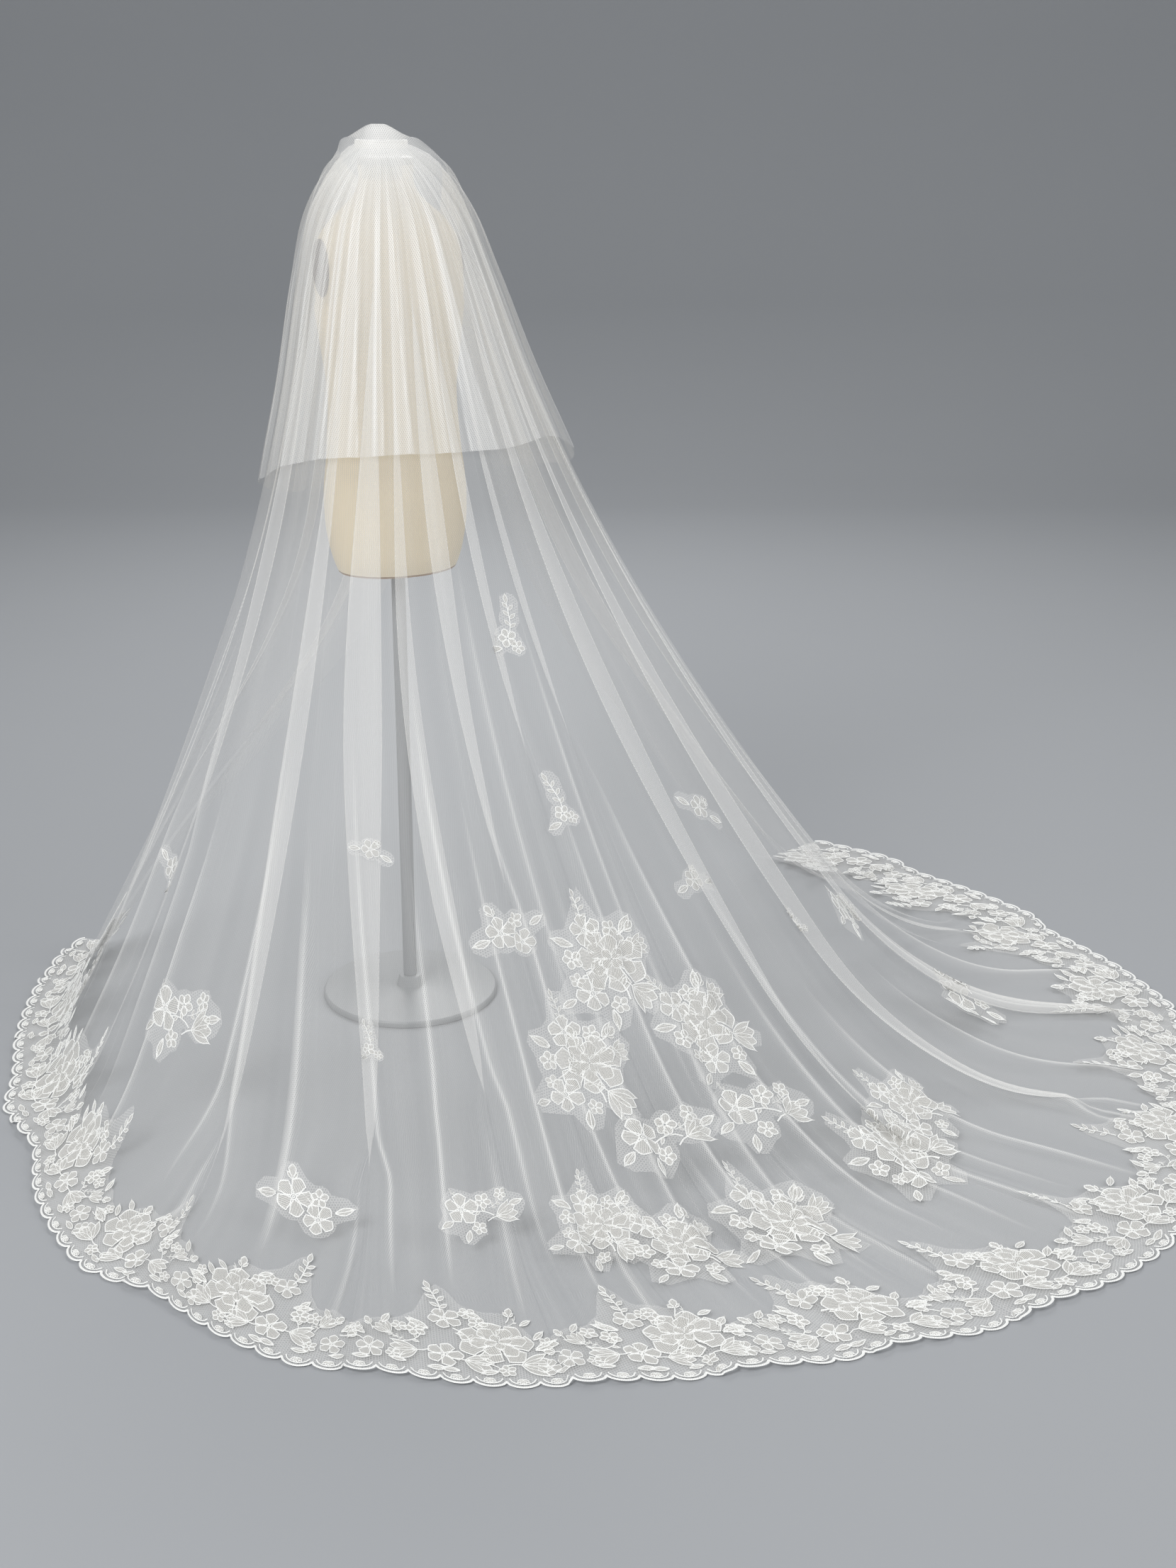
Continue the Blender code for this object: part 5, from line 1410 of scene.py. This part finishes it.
def on_points_tree():
    """A Geometry Nodes tree that lays a motif on every point, turned and sized by the
    point's own values, and gives it one finish."""
    tree = bpy.data.node_groups.get("Motif on points")
    if tree:
        return tree
    tree = bpy.data.node_groups.new("Motif on points", "GeometryNodeTree")
    for title, kind in (
        ("Points", "Geometry"), ("Motif", "Object"), ("Finish", "Material"), ("Size", "Float")
    ):
        tree.interface.new_socket(name=title, in_out="INPUT", socket_type="NodeSocket" + kind)
    tree.interface.new_socket(name="Pieces", in_out="OUTPUT", socket_type="NodeSocketGeometry")
    given = add_node(tree, "NodeGroupInput").outputs
    motif = add_node(tree, "GeometryNodeObjectInfo", {"Object": given["Motif"]})
    turn = add_node(
        tree, "GeometryNodeInputNamedAttribute", {"Name": "turn"}, data_type="FLOAT_VECTOR"
    )
    size = add_node(tree, "GeometryNodeInputNamedAttribute", {"Name": "size"}, data_type="FLOAT")
    sized = {0: size.outputs[0], 1: given["Size"]}
    scale = add_node(tree, "ShaderNodeMath", sized, operation="MULTIPLY")
    placing = {
        "Points": given["Points"],
        "Instance": motif.outputs["Geometry"],
        "Rotation": turn.outputs[0],
        "Scale": scale.outputs[0],
    }
    laid = add_node(tree, "GeometryNodeInstanceOnPoints", placing)
    real = add_node(tree, "GeometryNodeRealizeInstances", {0: laid.outputs[0]})
    finishing = {"Geometry": real.outputs[0], "Material": given["Finish"]}
    finished = add_node(tree, "GeometryNodeSetMaterial", finishing)
    add_node(tree, "NodeGroupOutput", {0: finished.outputs[0]})
    return tree


def lay_on_points(places, turns, sizes, source, finish, size=1.0):
    """Run the tree over a set of points and return the plain mesh it makes."""
    cloud = bpy.data.meshes.new("places")
    cloud.from_pydata([tuple(map(float, p)) for p in places], [], [])
    cloud.attributes.new("turn", "FLOAT_VECTOR", "POINT").data.foreach_set(
        "vector", np.ravel(turns)
    )
    cloud.attributes.new("size", "FLOAT", "POINT").data.foreach_set("value", np.ravel(sizes))
    holder = bpy.data.objects.new("places", cloud)
    motif = bpy.data.objects.new("motif", source)
    for item in (holder, motif):
        bpy.context.scene.collection.objects.link(item)
    tree = on_points_tree()
    modifier = holder.modifiers.new("Motif on points", "NODES")
    modifier.node_group = tree
    inputs = {
        item.name: item.identifier for item in tree.interface.items_tree if item.in_out == "INPUT"
    }
    modifier[inputs["Motif"]] = motif
    modifier[inputs["Finish"]] = finish
    modifier[inputs["Size"]] = size
    holder.update_tag()
    graph = bpy.context.evaluated_depsgraph_get()
    graph.update()
    made = bpy.data.meshes.new_from_object(holder.evaluated_get(graph))
    for item in (holder, motif):
        bpy.data.objects.remove(item, do_unlink=True)
    bpy.data.meshes.remove(cloud)
    return made


def lace_parts(placed, ground, ground_stitch, ground_faces, finishes):
    """Lay every motif out flat and join all to the ground: points, faces, stitch places and
    the finish of each face."""
    points = [ground]
    faces = [ground_faces]
    stitch = [ground_stitch[ground_faces.ravel()]]
    finish = [np.zeros(len(ground_faces), int)]
    total = len(ground)
    for kind, draw in DRAWN.items():
        mine = [place for place in placed if place[0] == kind]
        if not mine:
            continue
        motif = Motif()
        draw(motif)
        turns = [(0.0, 0.0, place[4]) for place in mine]
        sizes = [place[3] for place in mine]
        places = [(place[1], place[2], 0.0) for place in mine]
        for number, drawing in ((1, motif.fill), (2, motif.cord)):
            source = drawing.mesh(kind)
            made = lay_on_points(places, turns, sizes, source, finishes[number])
            found = np.empty(len(made.vertices) * 3)
            made.vertices.foreach_get("co", found)
            corners = np.empty(len(made.loops), int)
            made.loops.foreach_get("vertex_index", corners)
            threads = np.empty(len(made.loops) * 2, np.float32)
            made.uv_layers["Stitch"].data.foreach_get("uv", threads)
            lift = (FILL_LIFT - GROUND_LIFT) * (CORD_OVER_FILL if number == 2 else 1.0)
            points.append(found.reshape(-1, 3) + (0.0, 0.0, lift))
            faces.append(corners.reshape(-1, 4) + total)
            stitch.append(threads.reshape(-1, 2))
            finish.append(np.full(len(corners) // 4, number))
            total += len(made.vertices)
            bpy.data.meshes.remove(made)
            bpy.data.meshes.remove(source)
    return tuple(np.concatenate(part) for part in (points, faces, stitch, finish))


def lace_piece(name, points, faces, stitch, finish, finishes, replaced):
    """A lace piece from its parts, already moved onto the cloth."""
    mesh = mesh_from(name, points, faces)
    layer = mesh.uv_layers.new(name="Stitch")
    layer.data.foreach_set("uv", stitch.astype(np.float32).ravel())
    mesh.polygons.foreach_set("material_index", finish.astype(np.int32))
    return new_piece(name, mesh, finishes, replaced)


def edging_layout(length, middle):
    """Motifs of the edging, repeated along the hem with small uneven steps."""
    draw = random.Random(23)
    repeat = length / HEM_REPEATS
    placed = []
    for number in range(HEM_REPEATS):
        turned = (number + 0.5) * repeat < middle
        for place in HEM_LAYOUT:
            along = 1.0 - place.along / REPEAT if turned else place.along / REPEAT
            x = (number + along) * repeat + draw.uniform(-EDGING_SHIFT, EDGING_SHIFT)
            y = place.up * draw.uniform(*EDGING_RISES)
            turn = math.radians(
                (-place.turn if turned else place.turn) + draw.uniform(-EDGING_TURN, EDGING_TURN)
            )
            size = place.size * draw.uniform(*EDGING_SIZES)
            x = min(max(x, EDGING_END), length - EDGING_END)
            placed.append((place.motif, x, y, size, turn))
    pitch = length / SCALLOPS
    for number in range(SCALLOPS):
        placed.append(("scallop", (number + 0.5) * pitch, 0.0, pitch / SCALLOP_DRAWN, 0.0))
    return placed


def edging_ground(length, middle):
    """The edging's net ground: scalloped below, cut round the motif tops above."""
    draw = random.Random(8)
    columns = SCALLOPS * SCALLOP_COLUMNS + 1
    share = np.linspace(0.0, 1.0, columns)
    bow = np.abs(np.sin(np.pi * share * SCALLOPS)) ** SCALLOP_BOW
    low = -(SCALLOP_ROOT + (SCALLOP_OUT - SCALLOP_ROOT) * bow)
    repeat = np.minimum((share * HEM_REPEATS).astype(int), HEM_REPEATS - 1)
    within = share * HEM_REPEATS - repeat
    within = np.where((repeat + 0.5) * length / HEM_REPEATS < middle, 1.0 - within, within)
    top = np.interp(
        within, [rise.share for rise in GROUND_TOP], [rise.height for rise in GROUND_TOP]
    )
    steps = [draw.uniform(-GROUND_UNEVEN, GROUND_UNEVEN) for _ in range(columns // 4 + 2)]
    top = top + np.interp(np.arange(columns) / 4.0, np.arange(len(steps)), steps)
    up = np.linspace(0.0, 1.0, GROUND_ROWS)[:, None]
    y = low + (top - low) * up
    x = np.broadcast_to(share * length, y.shape)
    flat = np.stack([x, y, 0.0 * y], -1).reshape(-1, 3)
    return flat, flat[:, :2], grid_faces(GROUND_ROWS, columns)[:, ::-1]


def lace_edging(cloth, hem_row, finishes):
    """The corded lace edging along the whole hem."""
    length = float(cloth.across[hem_row, -1])
    columns = np.interp(TRAIN_MIDDLE, cloth.at, np.arange(len(cloth.at)))
    middle = float(cloth.across[hem_row, int(columns)])
    ground = edging_ground(length, middle)
    points, faces, stitch, finish = lace_parts(edging_layout(length, middle), *ground, finishes)
    laid = cloth.hem_place(points[:, 0], points[:, 1], GROUND_LIFT + points[:, 2], hem_row)
    return lace_piece("lace_edging", laid, faces, stitch, finish, finishes, ["lace_hem"])


def spray_motifs(spray, number, draw):
    """The motifs of one spray, drawn flat round a centre (number, 0)."""
    scale = max(spray.width, spray.height) / LAYOUT_SIZES[spray.layout]
    scale = min(scale, SPRAY_LARGEST) * SPRAY_FULL
    placed = []
    for place in LAYOUTS[spray.layout]:
        x = number + place.along * spray.width * SPRAY_SPREAD
        y = place.up * spray.height * SPRAY_SPREAD
        turn = math.radians(place.turn + draw.uniform(-SPRAY_TURN, SPRAY_TURN))
        size = place.size * scale * draw.uniform(*SPRAY_SIZES)
        placed.append((place.motif, x, y, size, turn))
    return placed


def cut_reach(placed, number, angle):
    """How far the ground net is left on in a direction, a little past the motifs."""
    way = np.array([math.cos(angle), math.sin(angle)])
    reach = CUT_LEAST
    for kind, x, y, size, turn in placed:
        for disc in MOTIF_DISCS[kind]:
            forward = disc.forward * size
            centre = np.array(
                [x - number - forward * math.sin(turn), y + forward * math.cos(turn)]
            )
            radius = disc.radius * size - CUT_INSIDE
            along = float(centre @ way)
            room = radius**2 - float(centre @ centre) + along**2
            if room > 0.0:
                reach = max(reach, along + math.sqrt(room))
    return reach


def lace_sprays(cloth, finishes):
    """The flower and leaf sprays, drawn flat a metre apart and then laid on the cloth."""
    draw = random.Random(31)
    placed, ground, faces = [], [], []
    sectors, rings = 28, 6
    for number, spray in enumerate(SPRAYS):
        mine = spray_motifs(spray, number, draw)
        placed += mine
        start = len(ground)
        angles = [math.tau * sector / sectors for sector in range(sectors)]
        reaches = [cut_reach(mine, number, angle) for angle in angles]
        for ring in range(rings):
            share = max(ring / (rings - 1), 0.02)
            for angle, reach in zip(angles, reaches):
                out = reach * share
                ground.append((number + out * math.cos(angle), out * math.sin(angle), 0.0))
        for ring in range(rings - 1):
            for sector in range(sectors):
                a = start + ring * sectors + sector
                b = start + ring * sectors + (sector + 1) % sectors
                faces.append((a, a + sectors, b + sectors, b))
    ground = np.array(ground)
    points, faces, stitch, finish = lace_parts(
        placed, ground, ground[:, :2], np.array(faces), finishes
    )
    owner = np.clip(np.round(points[:, 0]).astype(int), 0, len(SPRAYS) - 1)
    laid = np.empty_like(points)
    for number, spray in enumerate(SPRAYS):
        mine = owner == number
        lean = math.radians(spray.lean)
        across = points[mine, 0] - number
        up = points[mine, 1]
        sideways = across * math.cos(lean) + up * math.sin(lean)
        rise = up * math.cos(lean) - across * math.sin(lean)
        lift = GROUND_LIFT + points[mine, 2]
        laid[mine] = cloth.spray_place(spray.pleat, spray.down, sideways, rise, lift)
    nodes = [f"applique_{number:02d}" for number in range(1, len(SPRAYS) + 1)]
    return lace_piece("lace_sprays", laid, faces, stitch, finish, finishes, nodes)


def outward_mesh(mesh):
    """Turn a closed mesh's faces out by the sign of its volume."""
    volume = 0.0
    for face in mesh.polygons:
        corners = [mesh.vertices[i].co for i in face.vertices]
        for b, c in zip(corners[1:], corners[2:]):
            volume += corners[0].dot(b.cross(c))
    if volume < 0.0:
        mesh.flip_normals()
    return mesh


def ring_mesh(name, rings):
    """A closed body through rings of equally many points."""
    sides = len(rings[0])
    points = [point for ring in rings for point in ring]
    faces = []
    for start in range(0, len(points) - sides, sides):
        for side in range(sides):
            a, b = start + side, start + (side + 1) % sides
            faces.append((a, b, b + sides, a + sides))
    faces.append(tuple(reversed(range(sides))))
    faces.append(tuple(range(len(points) - sides, len(points))))
    return outward_mesh(mesh_from(name, points, faces))


def turned_mesh(name, levels, sides):
    """A closed body through level rings of (height, half width, half depth)."""
    angle = np.linspace(0.0, math.tau, sides, endpoint=False)
    rings = [
        list(zip(wide * np.cos(angle), deep * np.sin(angle), np.full(sides, height)))
        for height, wide, deep in levels
    ]
    return ring_mesh(name, rings)


def round_levels(rows):
    """Levels of a round body from rows of (height, radius)."""
    return [(height, radius, radius) for height, radius in rows]


def body_mesh():
    """The moulded body: smooth levels, shoulder ends cut flat, and sunk seams down it."""
    heights = np.concatenate([[0.835, 0.838], np.linspace(0.844, 1.526, 110), [1.530]])
    sides = 120
    angle = np.linspace(0.0, math.tau, sides, endpoint=False)
    levels = []
    for height in heights:
        wide = float(curve(BODY_LEVELS, "height", "half_width", height))
        deep = float(curve(BODY_LEVELS, "height", "half_depth", height))
        levels.append((height, wide - JERSEY_INSIDE, deep - JERSEY_INSIDE))
    mesh = turned_mesh("form_body", levels, sides)
    for vertex in mesh.vertices:
        x, y, z = vertex.co
        side = abs(z - ARMHOLE_HEIGHT) < ARMHOLE_HALF_HEIGHT + 0.010
        if side and abs(x) > ARMHOLE_X:
            x = math.copysign(ARMHOLE_X, x)
        turn = math.degrees(math.atan2(y, x)) % 360.0
        sunk = 0.0
        for seam in BODY_SEAMS:
            away = abs((turn - seam + 180.0) % 360.0 - 180.0)
            sunk = max(sunk, math.exp(-((away / BODY_SEAM_WIDTH) ** 2)))
        if z < BODY_SEAM_TOP and not (side and abs(x) >= ARMHOLE_X):
            reach = math.hypot(x, y)
            x -= BODY_SEAM_DEPTH * sunk * x / reach
            y -= BODY_SEAM_DEPTH * sunk * y / reach
        vertex.co = (x, y, z)
    return mesh


def arc_mesh(name, section, half_angle, steps):
    """A closed bar bent round the neck; section holds the radii and heights round it."""
    rings = []
    for step in range(steps + 1):
        angle = math.radians(SEAM_BEARING - half_angle + 2.0 * half_angle * step / steps)
        rings.append([(r * math.cos(angle), r * math.sin(angle), height) for r, height in section])
    return ring_mesh(name, rings)


def rounded_section(inner, outer, low, high, corner):
    """Radii and heights round a section with rounded corners."""
    section = []
    corners = [(outer, low, -90), (outer, high, 0), (inner, high, 90), (inner, low, 180)]
    for radius, height, start in corners:
        centre_r = radius + corner * (-1 if radius == outer else 1)
        centre_h = height + corner * (1 if height == low else -1)
        for k in range(4):
            turn = math.radians(start + 30.0 * k)
            section.append(
                (centre_r + corner * math.cos(turn), centre_h + corner * math.sin(turn))
            )
    return section


def merged(name, meshes):
    """One mesh from several."""
    points, faces, count = [], [], 0
    for mesh in meshes:
        points += [tuple(vertex.co) for vertex in mesh.vertices]
        faces += [tuple(count + i for i in face.vertices) for face in mesh.polygons]
        count += len(mesh.vertices)
    return mesh_from(name, points, faces)


def colour_property(name, description, colour):
    """A colour that a user can change, starting from an sRGB hex value."""
    return bpy.props.FloatVectorProperty(
        name=name, description=description, subtype="COLOR", size=3, default=linear(colour)[:3]
    )


class VeilSizes(bpy.types.PropertyGroup):
    net_mesh: bpy.props.FloatProperty(
        name="Net mesh", description="Spacing at which the net is drawn",
        default=0.0032, unit="LENGTH",
    )
    net_cover: bpy.props.FloatProperty(
        name="Net cover", description="Share of light one layer of net stops",
        default=0.17, subtype="FACTOR",
    )
    stitch_length: bpy.props.FloatProperty(
        name="Stitch length", description="Length of the hand stitches on the binding",
        default=0.004, unit="LENGTH",
    )
    net_colour: colour_property("Net colour", "Colour of the tulle", "#FBFAF7")
    cord_colour: colour_property(
        "Cord colour", "Colour of the cord round the lace motifs", "#FFFFFC"
    )
    jersey_colour: colour_property(
        "Jersey colour", "Colour of the jersey on the dress form", "#EEDDBC"
    )


class VeilStage(bpy.types.PropertyGroup):
    floor_colour: colour_property("Floor colour", "Colour of the floor and backdrop", "#A1A3A6")
    key_light: bpy.props.FloatProperty(
        name="Key light", description="Power of the large soft light", default=150.0, unit="POWER"
    )


made_cloth = {}


def long_sheet():
    """The long tier's cloth, worked out once."""
    if "long" not in made_cloth:
        made_cloth["long"] = long_cloth()
    return made_cloth["long"]


def lace_finishes(sizes):
    """The three finishes of the lace: ground, filling and cord."""
    if "lace" not in made_cloth:
        made_cloth["lace"] = [
            lace_ground_material(),
            lace_fill_material(),
            lace_cord_material(sizes.cord_colour),
        ]
    return made_cloth["lace"]


class VEIL_OT_long_tier(bpy.types.Operator):
    """Drape the long tier of tulle over the form and out along the floor"""

    bl_idname = "veil.long_tier"
    bl_label = "Long tier"

    def execute(self, context):
        sizes = context.scene.veil_sizes
        cloth = long_sheet()
        finish = tulle_material("steamed polyester tulle", sizes, sizes.net_cover)
        cloth_piece("tulle_long", cloth, len(cloth.points) - 1, finish, ["long_tier"])
        return {"FINISHED"}


class VEIL_OT_short_tier(bpy.types.Operator):
    """Drape the short tier of tulle, with its puff over the comb"""

    bl_idname = "veil.short_tier"
    bl_label = "Short tier"

    def execute(self, context):
        sizes = context.scene.veil_sizes
        cloth = short_cloth()
        finish = tulle_material("steamed polyester tulle, short tier", sizes, sizes.net_cover)
        cloth_piece("tulle_short", cloth, len(cloth.points), finish, ["short_tier"])
        return {"FINISHED"}


class VEIL_OT_edging(bpy.types.Operator):
    """Lay the scalloped lace edging along the hem"""

    bl_idname = "veil.edging"
    bl_label = "Lace edging"

    def execute(self, context):
        cloth = long_sheet()
        lace_edging(cloth, len(cloth.points) - 2, lace_finishes(context.scene.veil_sizes))
        return {"FINISHED"}


class VEIL_OT_sprays(bpy.types.Operator):
    """Lay the flower and leaf sprays on the train"""

    bl_idname = "veil.sprays"
    bl_label = "Lace sprays"

    def execute(self, context):
        lace_sprays(long_sheet(), lace_finishes(context.scene.veil_sizes))
        return {"FINISHED"}


class VEIL_OT_comb(bpy.types.Operator):
    """Make the comb and the satin binding that holds the gathers on it"""

    bl_idname = "veil.comb"
    bl_label = "Comb and binding"

    def execute(self, context):
        sizes = context.scene.veil_sizes
        inner = NECK_RADIUS + SEAM_GAP
        outer = inner + COMB_THICKNESS
        clear = comb_material()
        section = rounded_section(inner, outer, COMB_TOOTH_ROOT, COMB_TOP, 0.0009)
        spine = arc_mesh("comb", section, COMB_HALF_ANGLE, 60)
        row = arc_row((inner + outer) / 2.0, COMB_TOOTH_ROOT, COMB_HALF_ANGLE, COMB_TEETH)
        comb = merged("hair_comb", [spine, lay_on_points(*row, comb_tooth(), clear)])
        new_piece("hair_comb", comb, [clear], ["comb"], sharp=50)
        ribbon = satin_material()
        edge = SEAM_RADIUS - 0.0001 - NET_WALL / 2.0 - SEAM_GAP
        section = rounded_section(inner, edge, COMB_TOP + SEAM_GAP, BAND_TOP, 0.0016)
        band = arc_mesh("band", section, BAND_HALF_ANGLE, 90)
        row = arc_row((inner + edge) / 2.0, BAND_TOP - STITCH_SUNK, STITCHES_HALF_ANGLE, STITCHES)
        stitches = lay_on_points(*row, stitch_mesh(sizes.stitch_length), ribbon)
        binding = merged("seam_binding", [band, stitches])
        new_piece("seam_binding", binding, [ribbon], ["gather_band"], sharp=60)
        return {"FINISHED"}


def arc_row(radius, height, half_angle, count):
    """Places, turns and sizes of pieces set evenly on an arc round the neck."""
    turns = [
        SEAM_BEARING - half_angle + 2.0 * half_angle * (i + 0.5) / count for i in range(count)
    ]
    turns = [math.radians(turn) for turn in turns]
    places = [(radius * math.cos(turn), radius * math.sin(turn), height) for turn in turns]
    return places, [(0.0, 0.0, turn) for turn in turns], [1.0] * count


def comb_tooth():
    """A tapered round tooth, hanging from its root, its front towards +X."""
    levels = [(0.0006, 1.0), (-0.01, 0.92), (-0.03, 0.7), (-0.037, 0.5), (-0.04, 0.22)]
    return turned_mesh("tooth", [(height, 0.00115 * s, 0.00165 * s) for height, s in levels], 8)


def stitch_mesh(length):
    """A short slanting stitch of thick thread, lying flat."""
    rings = []
    for share in (-0.5, -0.38, 0.0, 0.38, 0.5):
        thick = 0.00045 * (1.0 if abs(share) < 0.45 else 0.4)
        rings.append([
            (thick * math.cos(turn) + 0.3 * share * length, share * length, thick * math.sin(turn))
            for turn in np.linspace(0.0, math.tau, 6, endpoint=False)
        ])
    return ring_mesh("stitch", rings)


class VEIL_OT_form(bpy.types.Operator):
    """Make the moulded body with its cap and armhole plates"""

    bl_idname = "veil.form"
    bl_label = "Dress form"

    def execute(self, context):
        sizes = context.scene.veil_sizes
        jersey = jersey_material(sizes.jersey_colour)
        new_piece("form_body", body_mesh(), [jersey], ["form_torso"], sharp=40)
        wood = wood_material()
        start = BODY_LEVELS[-1].height + SEAM_GAP
        cap = turned_mesh("neck_cap", round_levels((start + up, r) for up, r in CAP_PROFILE), 96)
        new_piece("neck_cap", cap, [wood], ["form_neck_cap"], sharp=30)
        for side, label in ((-1, "left"), (1, "right")):
            mesh = armhole_mesh(side)
            new_piece(
                "armhole_" + label, mesh, [wood], ["armhole_plate_" + label],
                sharp=30,
            )
        return {"FINISHED"}


def armhole_mesh(side):
    """An oval plate with a bevelled rim and a shallow dished face."""
    rim = [(0.0, 0.985), (0.0006, 1.0), (0.002, 1.0), (0.003, 0.965), (0.0026, 0.9), (0.0022, 0.8)]
    rings = []
    for out, share in rim:
        rings.append([
            (
                side * (ARMHOLE_X + SEAM_GAP + out),
                ARMHOLE_HALF_DEPTH * share * math.cos(turn),
                ARMHOLE_HEIGHT + ARMHOLE_HALF_HEIGHT * share * math.sin(turn),
            )
            for turn in np.linspace(0.0, math.tau, 72, endpoint=False)
        ])
    return ring_mesh("armhole", rings)


class VEIL_OT_stand(bpy.types.Operator):
    """Make the pole and the round base with its collar"""

    bl_idname = "veil.stand"
    bl_label = "Stand"

    def execute(self, context):
        steel = steel_material()
        base = turned_mesh("base", round_levels(BASE_PROFILE), 128)
        new_piece("stand_base", base, [steel], ["form_base"], sharp=30)
        start = COLLAR_HEIGHT + SEAM_GAP
        end = BODY_LEVELS[0].height - SEAM_GAP
        rows = [
            (start, POLE_RADIUS - POLE_BEVEL), (start + POLE_ROUNDED, POLE_RADIUS),
            (end - POLE_ROUNDED, POLE_RADIUS), (end, POLE_RADIUS - POLE_BEVEL),
        ]
        pole = turned_mesh("pole", round_levels(rows), 48)
        new_piece("stand_pole", pole, [steel], ["form_pole"], sharp=30)
        return {"FINISHED"}


def area_light(lamp, power):
    """A soft square light that looks at its target, with its part of the power."""
    light = bpy.data.lights.new(lamp.name, "AREA")
    light.size = lamp.side
    light.energy = lamp.part * power
    holder = bpy.data.objects.new(lamp.name, light)
    bpy.context.scene.collection.objects.link(holder)
    holder.location = lamp.place
    way = Vector(lamp.target) - Vector(lamp.place)
    holder.rotation_euler = way.to_track_quat("-Z", "Y").to_euler()


class VEIL_OT_stage(bpy.types.Operator):
    """Set up the paper floor and backdrop, the soft lights and the camera"""

    bl_idname = "veil.stage"
    bl_label = "Stage"

    def execute(self, context):
        stage = context.scene.veil_stage
        profile = [(PAPER_FRONT, 0.0), (PAPER_BACK, 0.0)]
        for angle in map(math.radians, range(10, 91, 10)):
            out, up = math.sin(angle), 1.0 - math.cos(angle)
            profile.append((PAPER_BACK + PAPER_COVE * out, PAPER_COVE * up))
        profile.append((PAPER_BACK + PAPER_COVE, PAPER_TOP))
        turn = math.radians(CAMERA_TURN)
        points = []
        for across in np.linspace(-PAPER_HALF_WIDTH, PAPER_HALF_WIDTH, PAPER_COLUMNS):
            for far, up in profile:
                points.append((
                    far * math.sin(turn) + across * math.cos(turn),
                    far * math.cos(turn) - across * math.sin(turn),
                    up - PAPER_BELOW,
                ))
        mesh = mesh_from("paper", points, grid_faces(PAPER_COLUMNS, len(profile)))
        mesh.materials.append(floor_material(stage.floor_colour))
        paper = bpy.data.objects.new("studio_paper", mesh)
        context.scene.collection.objects.link(paper)
        for lamp in LAMPS:
            area_light(lamp, stage.key_light)
        world = bpy.data.worlds.new("studio air")
        world.use_nodes = True
        air = world.node_tree.nodes["Background"].inputs
        air["Color"].default_value = linear("#E4E7EA")
        air["Strength"].default_value = AIR_STRENGTH
        context.scene.world = world
        context.scene.view_settings.view_transform = "Standard"
        context.scene.cycles.transparent_max_bounces = SEEN_THROUGH
        data = bpy.data.cameras.new("camera")
        data.lens = CAMERA_LENS
        data.sensor_width = CAMERA_SENSOR
        data.clip_end = CAMERA_SIGHT
        camera = bpy.data.objects.new("camera", data)
        context.scene.collection.objects.link(camera)
        camera.location = CAMERA_PLACE
        camera.rotation_euler = (math.radians(90.0 - CAMERA_DOWN), 0.0, -turn)
        context.scene.camera = camera
        return {"FINISHED"}


class VEIL_PT_panel(bpy.types.Panel):
    """Lists what the veil is made of"""

    bl_label = "Bridal veil"
    bl_idname = "VEIL_PT_panel"
    bl_space_type = "VIEW_3D"
    bl_region_type = "UI"
    bl_category = "Veil"

    def draw(self, context):
        for group in (context.scene.veil_sizes, context.scene.veil_stage):
            for name in group.__annotations__:
                self.layout.prop(group, name)
        for operator in OPERATORS:
            self.layout.operator(operator.bl_idname)


OPERATORS = [
    VEIL_OT_long_tier,
    VEIL_OT_short_tier,
    VEIL_OT_edging,
    VEIL_OT_sprays,
    VEIL_OT_comb,
    VEIL_OT_form,
    VEIL_OT_stand,
    VEIL_OT_stage,
]
CLASSES = [VeilSizes, VeilStage, *OPERATORS, VEIL_PT_panel]


def register():
    for item in CLASSES:
        bpy.utils.register_class(item)
    bpy.types.Scene.veil_sizes = bpy.props.PointerProperty(type=VeilSizes)
    bpy.types.Scene.veil_stage = bpy.props.PointerProperty(type=VeilStage)


def unregister():
    del bpy.types.Scene.veil_stage
    del bpy.types.Scene.veil_sizes
    for item in reversed(CLASSES):
        bpy.utils.unregister_class(item)


def main():
    register()
    for operator in OPERATORS:
        group, name = operator.bl_idname.split(".")
        getattr(getattr(bpy.ops, group), name)()


if __name__ == "__main__":
    main()
